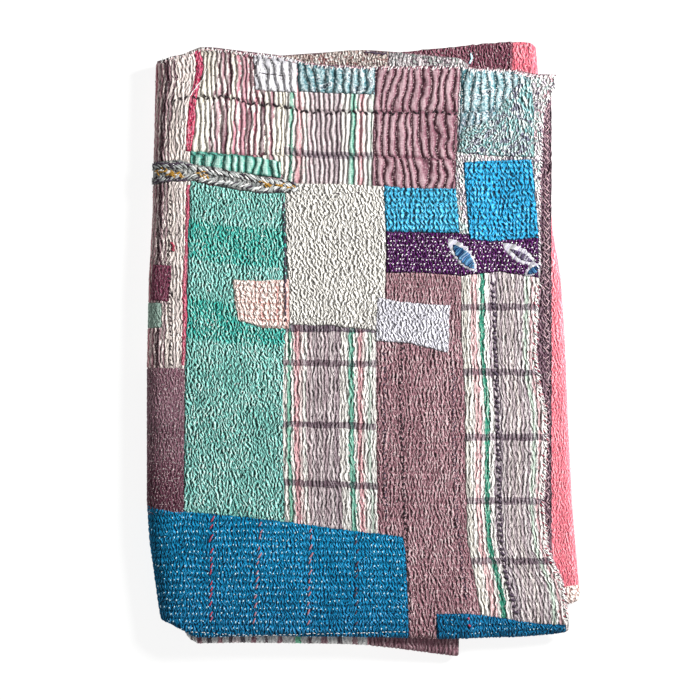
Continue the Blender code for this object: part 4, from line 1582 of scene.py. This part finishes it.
def lay_in_grooves(thread, name, spacing, length, width, seed):
    """Lays a small stitch across every groove of a piece, again and again along it."""
    panel = panels[name]
    chance = np.random.default_rng(seed)
    low, high = panel["outline"].min(axis=0), panel["outline"].max(axis=0)
    across = np.linspace(low[0] + 2, high[0] - 2, GROOVE_STEPS)
    places = []
    for y in np.arange(low[1] + 3, high[1] - 3, spacing):
        phase = rib_phase(across, np.full(GROOVE_STEPS, y), panel["gather"], panel["seed"])
        crossed = np.nonzero(np.diff(np.floor(phase)) != 0)[0]
        places += [(across[step], y + chance.uniform(-0.4, 0.4) * spacing) for step in crossed]
    x, y = np.array(places).T
    kept = inside(panel["outline"], x, y) & ~covered(panel, x, y)
    kept &= chance.uniform(0, 1, x.shape) < 0.8
    x, y = x[kept], y[kept]
    angles = chance.normal(0.9, 0.4, x.shape)
    lay(thread, panel["face"], x, y, angles, length * chance.uniform(0.7, 1.3, x.shape), width)


lay_in_grooves("rose_thread", "mauve_back", 3.0, 2.1, 0.75, seed=31)
lay_in_grooves("white_thread", "aqua_patch_hem", 3.4, 1.6, 0.8, seed=32)
lay_all_over("white_thread", "aqua_patch_low", 5.0, 5.4, 0.8, 2.2, 0.9, 0.3, 35)
lay_in_grooves("white_thread", "lilac_patch", 3.4, 1.8, 0.8, seed=33)
lay_in_grooves("dark_thread", "length_band", 9.0, 2.2, 0.9, seed=34)

# %% Tacking, gathering threads and whipped edges
def beside(line, step):
    """A line of places in the photograph, moved to the right."""
    return [(x + step, y) for x, y in line]


GATHER_THREAD = (
    (172, 101), (200, 97), (230, 98), (250, 103), (285, 107), (310, 112), (372, 113), (458, 113),
)
SEAM_LINE = ((402, 340), (400, 390), (402, 440), (405, 520), (408, 560), (411, 622))
MAUVE_EDGE = ((385, 350), (384, 430), (386, 520))
BESIDE_HEM = ((493, 282), (496, 360), (498, 430), (501, 540), (507, 580), (517, 614))
HEM_LINE = (
    (540, 282), (538, 306), (536.5, 356), (541, 389), (546, 407), (547, 436), (546, 466), (543.6, 505),
    (548, 549), (555, 566), (562.5, 583), (566.5, 599), (568, 622),
)
UPPER_HEM_LINE = (
    (555, 79), (553.5, 88), (549.5, 98), (544, 110), (542.6, 130), (541, 170), (539.6, 220),
    (539.5, 270),
)
BACK_HEM_LINE = (
    (158, 63.5), (171, 58), (191, 54.5), (199, 49.5), (212, 49.5), (233, 52), (250, 54.5), (280, 57),
    (300, 63), (320, 66.5), (360, 69), (375, 68), (460, 68.5), (475, 70), (510, 71.5), (535, 76.5),
    (555, 76),
)
UNDER_HEM = panels["mauve_under_hem"]["under"]
SEWN_LINES = (
    # thread, spacing, turned, length, width, wander, seed, line, zigzag, face, under

    # tacking on the blue
    ("red_thread", 9.0, -0.45, 8.0, 2.0, 0.6, 40, ((212, 514), (211, 560), (211, 625))),
    ("dusty_thread", 9.0, -0.45, 8.0, 2.0, 0.6, 41, ((261, 518), (258, 570), (254, 625))),
    ("dusty_thread", 9.0, -0.45, 8.0, 2.0, 0.6, 42, ((311, 525), (310, 570), (308, 625))),
    ("slate_thread", 9.0, -0.45, 8.0, 2.0, 0.6, 43, ((357, 532), (357, 580), (356, 625))),

    # the gathering thread, and the crimson strip's edge
    ("dark_thread", 6.4, 0.8, 5.4, 2.3, 0.9, 50, GATHER_THREAD, True),
    ("white_thread", 4.0, 0.0, 6.0, 1.3, 0.3, 75, ((206, 70), (203, 79), (196, 87), (190, 96))),

    # seams on the mauve, the cream and the middle length
    ("dark_thread", 6.2, 0.8, 4.4, 1.5, 0.6, 51, SEAM_LINE),
    ("slate_thread", 7.0, 0.8, 3.8, 1.2, 0.8, 56, MAUVE_EDGE),
    ("dark_thread", 6.2, -0.8, 4.4, 1.5, 0.6, 52, SEAM_LINE),
    ("slate_thread", 7.0, -0.8, 3.8, 1.2, 0.8, 57, MAUVE_EDGE),
    ("slate_thread", 4.4, -0.9, 6.0, 1.1, 0.5, 58, ((453, 360), (454, 440), (457, 520), (466, 600))),
    ("slate_thread", 6.0, 0.0, 7.0, 2.2, 0.4, 59, ((283.5, 196), (285, 250), (285.5, 322))),
    ("slate_thread", 7.0, 0.0, 5.0, 0.8, 0.3, 70, ((322, 193), (345, 194), (368, 192))),
    ("slate_thread", 7.0, 0.0, 5.0, 0.8, 0.3, 71, ((325, 239), (345, 239.5), (370, 238.5))),
    ("dark_thread", 8.5, 0.0, 9.0, 0.9, 0.2, 72, ((257, 73), (272, 74.5), (286, 76))),
    ("white_thread", 4.6, 0.0, 3.2, 0.9, 0.3, 73,
     ((186, 631.5), (230, 634), (300, 633.5), (380, 632.5), (405, 631.5))),
    ("red_thread", 9.0, 0.6, 3.5, 2.4, 0.3, 74, ((468, 612), (470, 630))),

    # the dark band beside the hem, and the outer length's edge
    ("slate_thread", 6.4, 0.9, 6.2, 2.9, 0.3, 53, BESIDE_HEM),
    ("dark_thread", 6.4, -0.5, 4.6, 2.0, 0.3, 76, beside(BESIDE_HEM, 1)),
    ("dark_thread", 5.2, 0.7, 4.4, 1.3, 0.3, 54, ((170, 262), (170, 300), (171, 340), (171, 366))),
    ("dark_thread", 5.6, 0.7, 4.0, 1.2, 0.3, 55, ((171, 192), (170, 225), (169, 258))),
    ("red_thread", 2.4, 0.9, 4.6, 2.4, 0.7, 82, ((172, 241), (174, 251))),

    # the whipped hems: right, upper right and back
    ("red_thread", 10.0, 0.75, 4.2, 1.1, 0.6, 60, beside(HEM_LINE, -2.5)),
    ("white_thread", 4.4, 0.75, 4.2, 1.1, 0.6, 61, beside(HEM_LINE, -1.5)),
    ("white_thread", 5.0, 0.75, 4.2, 1.1, 0.6, 62, HEM_LINE),
    ("dark_thread", 9.0, 0.75, 4.2, 1.1, 0.6, 63, beside(HEM_LINE, -1.0)),
    ("red_thread", 12.0, 0.75, 4.2, 1.1, 0.6, 64, beside(HEM_LINE, 0.2)),
    ("white_thread", 4.2, 0.8, 4.6, 1.1, 0.5, 64, UPPER_HEM_LINE),
    ("slate_thread", 4.0, 0.9, 4.4, 1.3, 1.4, 83, UPPER_HEM_LINE),
    ("white_thread", 3.4, 1.2, 4.6, 1.2, 0.9, 65, BACK_HEM_LINE),
    ("slate_thread", 6.4, 1.2, 3.6, 0.9, 0.9, 69, BACK_HEM_LINE),
    ("rose_thread", 7.0, 0.2, 5.0, 1.3, 0.9, 68, BACK_HEM_LINE),

    # the cover's lower ply, the lining's end and the heart's end
    ("rose_thread", 9.5, 0.75, 8.0, 0.8, 0.8, 66,
     ((546, 96), (546.5, 200), (545.5, 300), (545, 360)), False, "cover", UNDER_HEM),
    ("rose_thread", 6.0, 0.75, 7.0, 0.9, 0.6, 67,
     ((548, 100), (548, 250), (548, 400), (548, 540)), True, "cover", UNDER_HEM),
    ("dark_thread", 6.0, 0.0, 6.4, 1.3, 0.2, 77,
     ((551.4, 108), (551.4, 300), (551.4, 520)), False, "cover", UNDER_HEM),
    ("blued_thread", 3.0, 0.0, 6.0, 3.0, 0.2, 79, ((471.5, 53), (472, 58), (469.5, 63)), False, "lining"),
    ("slate_thread", 2.6, 0.4, 5.0, 2.0, 0.5, 78, ((365, 52), (386, 53.4)), False, "heart"),
)
for sewn_line in SEWN_LINES:
    lay_along(*sewn_line)
print("stitches so far:", sum(len(group) for laid in stitches.values() for group in laid))

# %% The plait of the braided seam
BRAID_TOP = (
    (130, 167), (154, 166), (180, 164.5), (188, 167), (215, 171), (235, 175), (260, 180), (295, 185.5),
)
BRAID_LOW = (
    (130, 180), (154, 180.5), (165, 178.5), (190, 177), (210, 180), (230, 184), (250, 187), (265, 190),
    (295, 189),
)
PLAIT_TURNS = (
    # thread, spacing, width
    ("grey_thread", 5.2, 2.3), ("white_thread", 6.0, 2.2), ("slate_thread", 6.0, 1.5),
    ("grey_thread", 8.0, 2.0), ("dark_thread", 5.2, 1.3),
)
TURN_LENGTH = 8.6
TURN_WANDER = 1.3
YARN_LINES = (((158, 170), (184, 177)), ((200, 172), (208, 178)), ((262, 182), (294, 189)))
for row_index, (line, lean) in enumerate(((BRAID_TOP, -0.55), (BRAID_LOW, 0.6))):
    for turn_index, (thread, spacing, width) in enumerate(PLAIT_TURNS):
        # the white strand starts at the crimson edge
        shown = line[3:] if thread == "white_thread" else line
        seed = 80 + 10 * row_index + turn_index
        lay_along(thread, spacing, lean, TURN_LENGTH, width, TURN_WANDER, seed, shown)
for index, line in enumerate(YARN_LINES):
    lay_along("ochre_thread", 1.7, 0.5, 7.0, 1.9, 2.0, 100 + index, line, True)
    lay_along("white_thread", 3.2, 0.4, 6.0, 1.8, 2.6, 105 + index, line)
    lay_along("dark_thread", 4.6, -0.6, 5.0, 1.2, 2.4, 110 + index, line)
lay_along("slate_thread", 3.6, 0.1, 9.0, 2.4, 1.0, 120, ((130, 164), (154, 164), (190, 164)))
lay_along("slate_thread", 4.6, -0.1, 9.0, 2.2, 1.0, 121, ((130, 183), (154, 182), (186, 180)))


# %% Geometry Nodes that sew them
SEWING_INPUTS = (
    ("Sides", "Int", 5), ("Rings", "Int", 4), ("Unevenness", "Float", 0.15), ("Seed", "Int", 7),
)
SEWN_SIZES = {"along": (3, 1.0), "up": (6, 1.0), "size": (9, MM)}
LONG_STITCH = 8


def sewing_tree(name, material):
    """A tree that turns points with directions and sizes into closed seeds of thread."""
    tree, given = new_tree(name, SEWING_INPUTS)
    along, up, size = (
        add(tree, "GeometryNodeInputNamedAttribute", {"data_type": "FLOAT_VECTOR"}, {"Name": label})
        for label in SEWN_SIZES
    )
    seed = add(tree, "GeometryNodeMeshUVSphere", None, {
        "Segments": given["Sides"], "Rings": given["Rings"], "Radius": 0.5,
    })
    turned = add(tree, "FunctionNodeAxesToRotation", {"primary_axis": "X", "secondary_axis": "Z"}, {
        "Primary Axis": along, "Secondary Axis": up,
    })
    least = add(tree, "ShaderNodeMath", "SUBTRACT", (1.0, given["Unevenness"]))
    most = add(tree, "ShaderNodeMath", "ADD", (1.0, given["Unevenness"]))
    uneven = add(tree, "FunctionNodeRandomValue", {"data_type": "FLOAT"}, {
        2: least, 3: most, "Seed": given["Seed"],
    }).outputs[1]
    scaled = add(tree, "ShaderNodeVectorMath", "SCALE", {0: size, "Scale": uneven})
    sewn = add(tree, "GeometryNodeInstanceOnPoints", None, {
        "Points": given["Geometry"], "Instance": seed, "Rotation": turned, "Scale": scaled,
    })
    real = add(tree, "GeometryNodeRealizeInstances", None, {"Geometry": sewn})
    smooth = add(tree, "GeometryNodeSetShadeSmooth", None, {"Geometry": real})
    done = add(tree, "GeometryNodeSetMaterial", None, {"Geometry": smooth, "Material": material})
    add(tree, "NodeGroupOutput", None, {"Geometry": done})
    return tree


def sew_thread(name):
    """One piece with every stitch of a thread."""
    table = np.concatenate(stitches[name])
    material = cotton_thread("spun_cotton_" + name, THREADS[name])
    piece = new_piece(name, to_metres(table[:, :3]), [], material)
    for label, (first, scale) in SEWN_SIZES.items():
        give_vectors(piece.data, label, table[:, first : first + 3] * scale)
    rings = 5 if table[:, SEWN_SIZES["size"][0]].max() > LONG_STITCH else 4
    run_tree(piece, sewing_tree("sew_" + name, material), {"Rings": rings})
    for label in SEWN_SIZES:
        if label in piece.data.attributes:
            piece.data.attributes.remove(piece.data.attributes[label])
    print(name, len(table), "stitches,", len(piece.data.polygons), "faces")
    return piece


sewn_threads = [sew_thread(name) for name in THREADS]

# %% Stage, light and camera
FLOOR_SIZE = 6.0
FLOOR_SHADER = {
    "Base Color": linear("7C7C7B"), "Roughness": 0.9,
    "Emission Color": (1, 1, 1, 1), "Emission Strength": 0.87,
}
WORLD_STRENGTH = 0.26
KEY_POWER = 91
KEY_SIZE = 0.5
KEY_PLACE = (1.6, 0.9, 1.25)
LENS = 200.0
SENSOR = 36.0
FRAME_WIDTH = 700 * PHOTO_STEP
SURFACE_HEIGHT = 31.0


def placed(name, data, place):
    """A new object with a light or a camera in it."""
    holder = bpy.data.objects.new(name, data)
    holder.location = place
    bpy.context.scene.collection.objects.link(holder)
    return holder


bpy.ops.mesh.primitive_plane_add(size=FLOOR_SIZE, location=(0, 0, -0.5 * MM))
floor = bpy.context.object
floor.name = "floor"
floor.data.materials.append(new_finish("matte_white_paint", FLOOR_SHADER)[0])
world = bpy.data.worlds.new("studio")
world.use_nodes = True
world.node_tree.nodes["Background"].inputs["Color"].default_value = (1, 1, 1, 1)
world.node_tree.nodes["Background"].inputs["Strength"].default_value = WORLD_STRENGTH
bpy.context.scene.world = world
key = bpy.data.lights.new("key", "AREA")
key.energy = KEY_POWER
key.size = KEY_SIZE
key_holder = placed("key", key, KEY_PLACE)
key_holder.rotation_euler = (-Vector(KEY_PLACE)).to_track_quat("-Z", "Y").to_euler()
camera = bpy.data.cameras.new("camera")
camera.lens = LENS
camera.sensor_width = SENSOR
middle = from_photo([(350, 350)])[0]
distance = FRAME_WIDTH * LENS / SENSOR + SURFACE_HEIGHT
viewer = placed("camera", camera, to_metres(np.array((*middle, distance)))[0])
bpy.context.scene.camera = viewer
bpy.context.scene.view_settings.view_transform = "Standard"

# %% Attach every piece to the root, and hide the CAD solid
for piece in [quilt_body, *pieces.values(), *sewn_threads]:
    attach(piece, "root")
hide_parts("kantha_quilt")
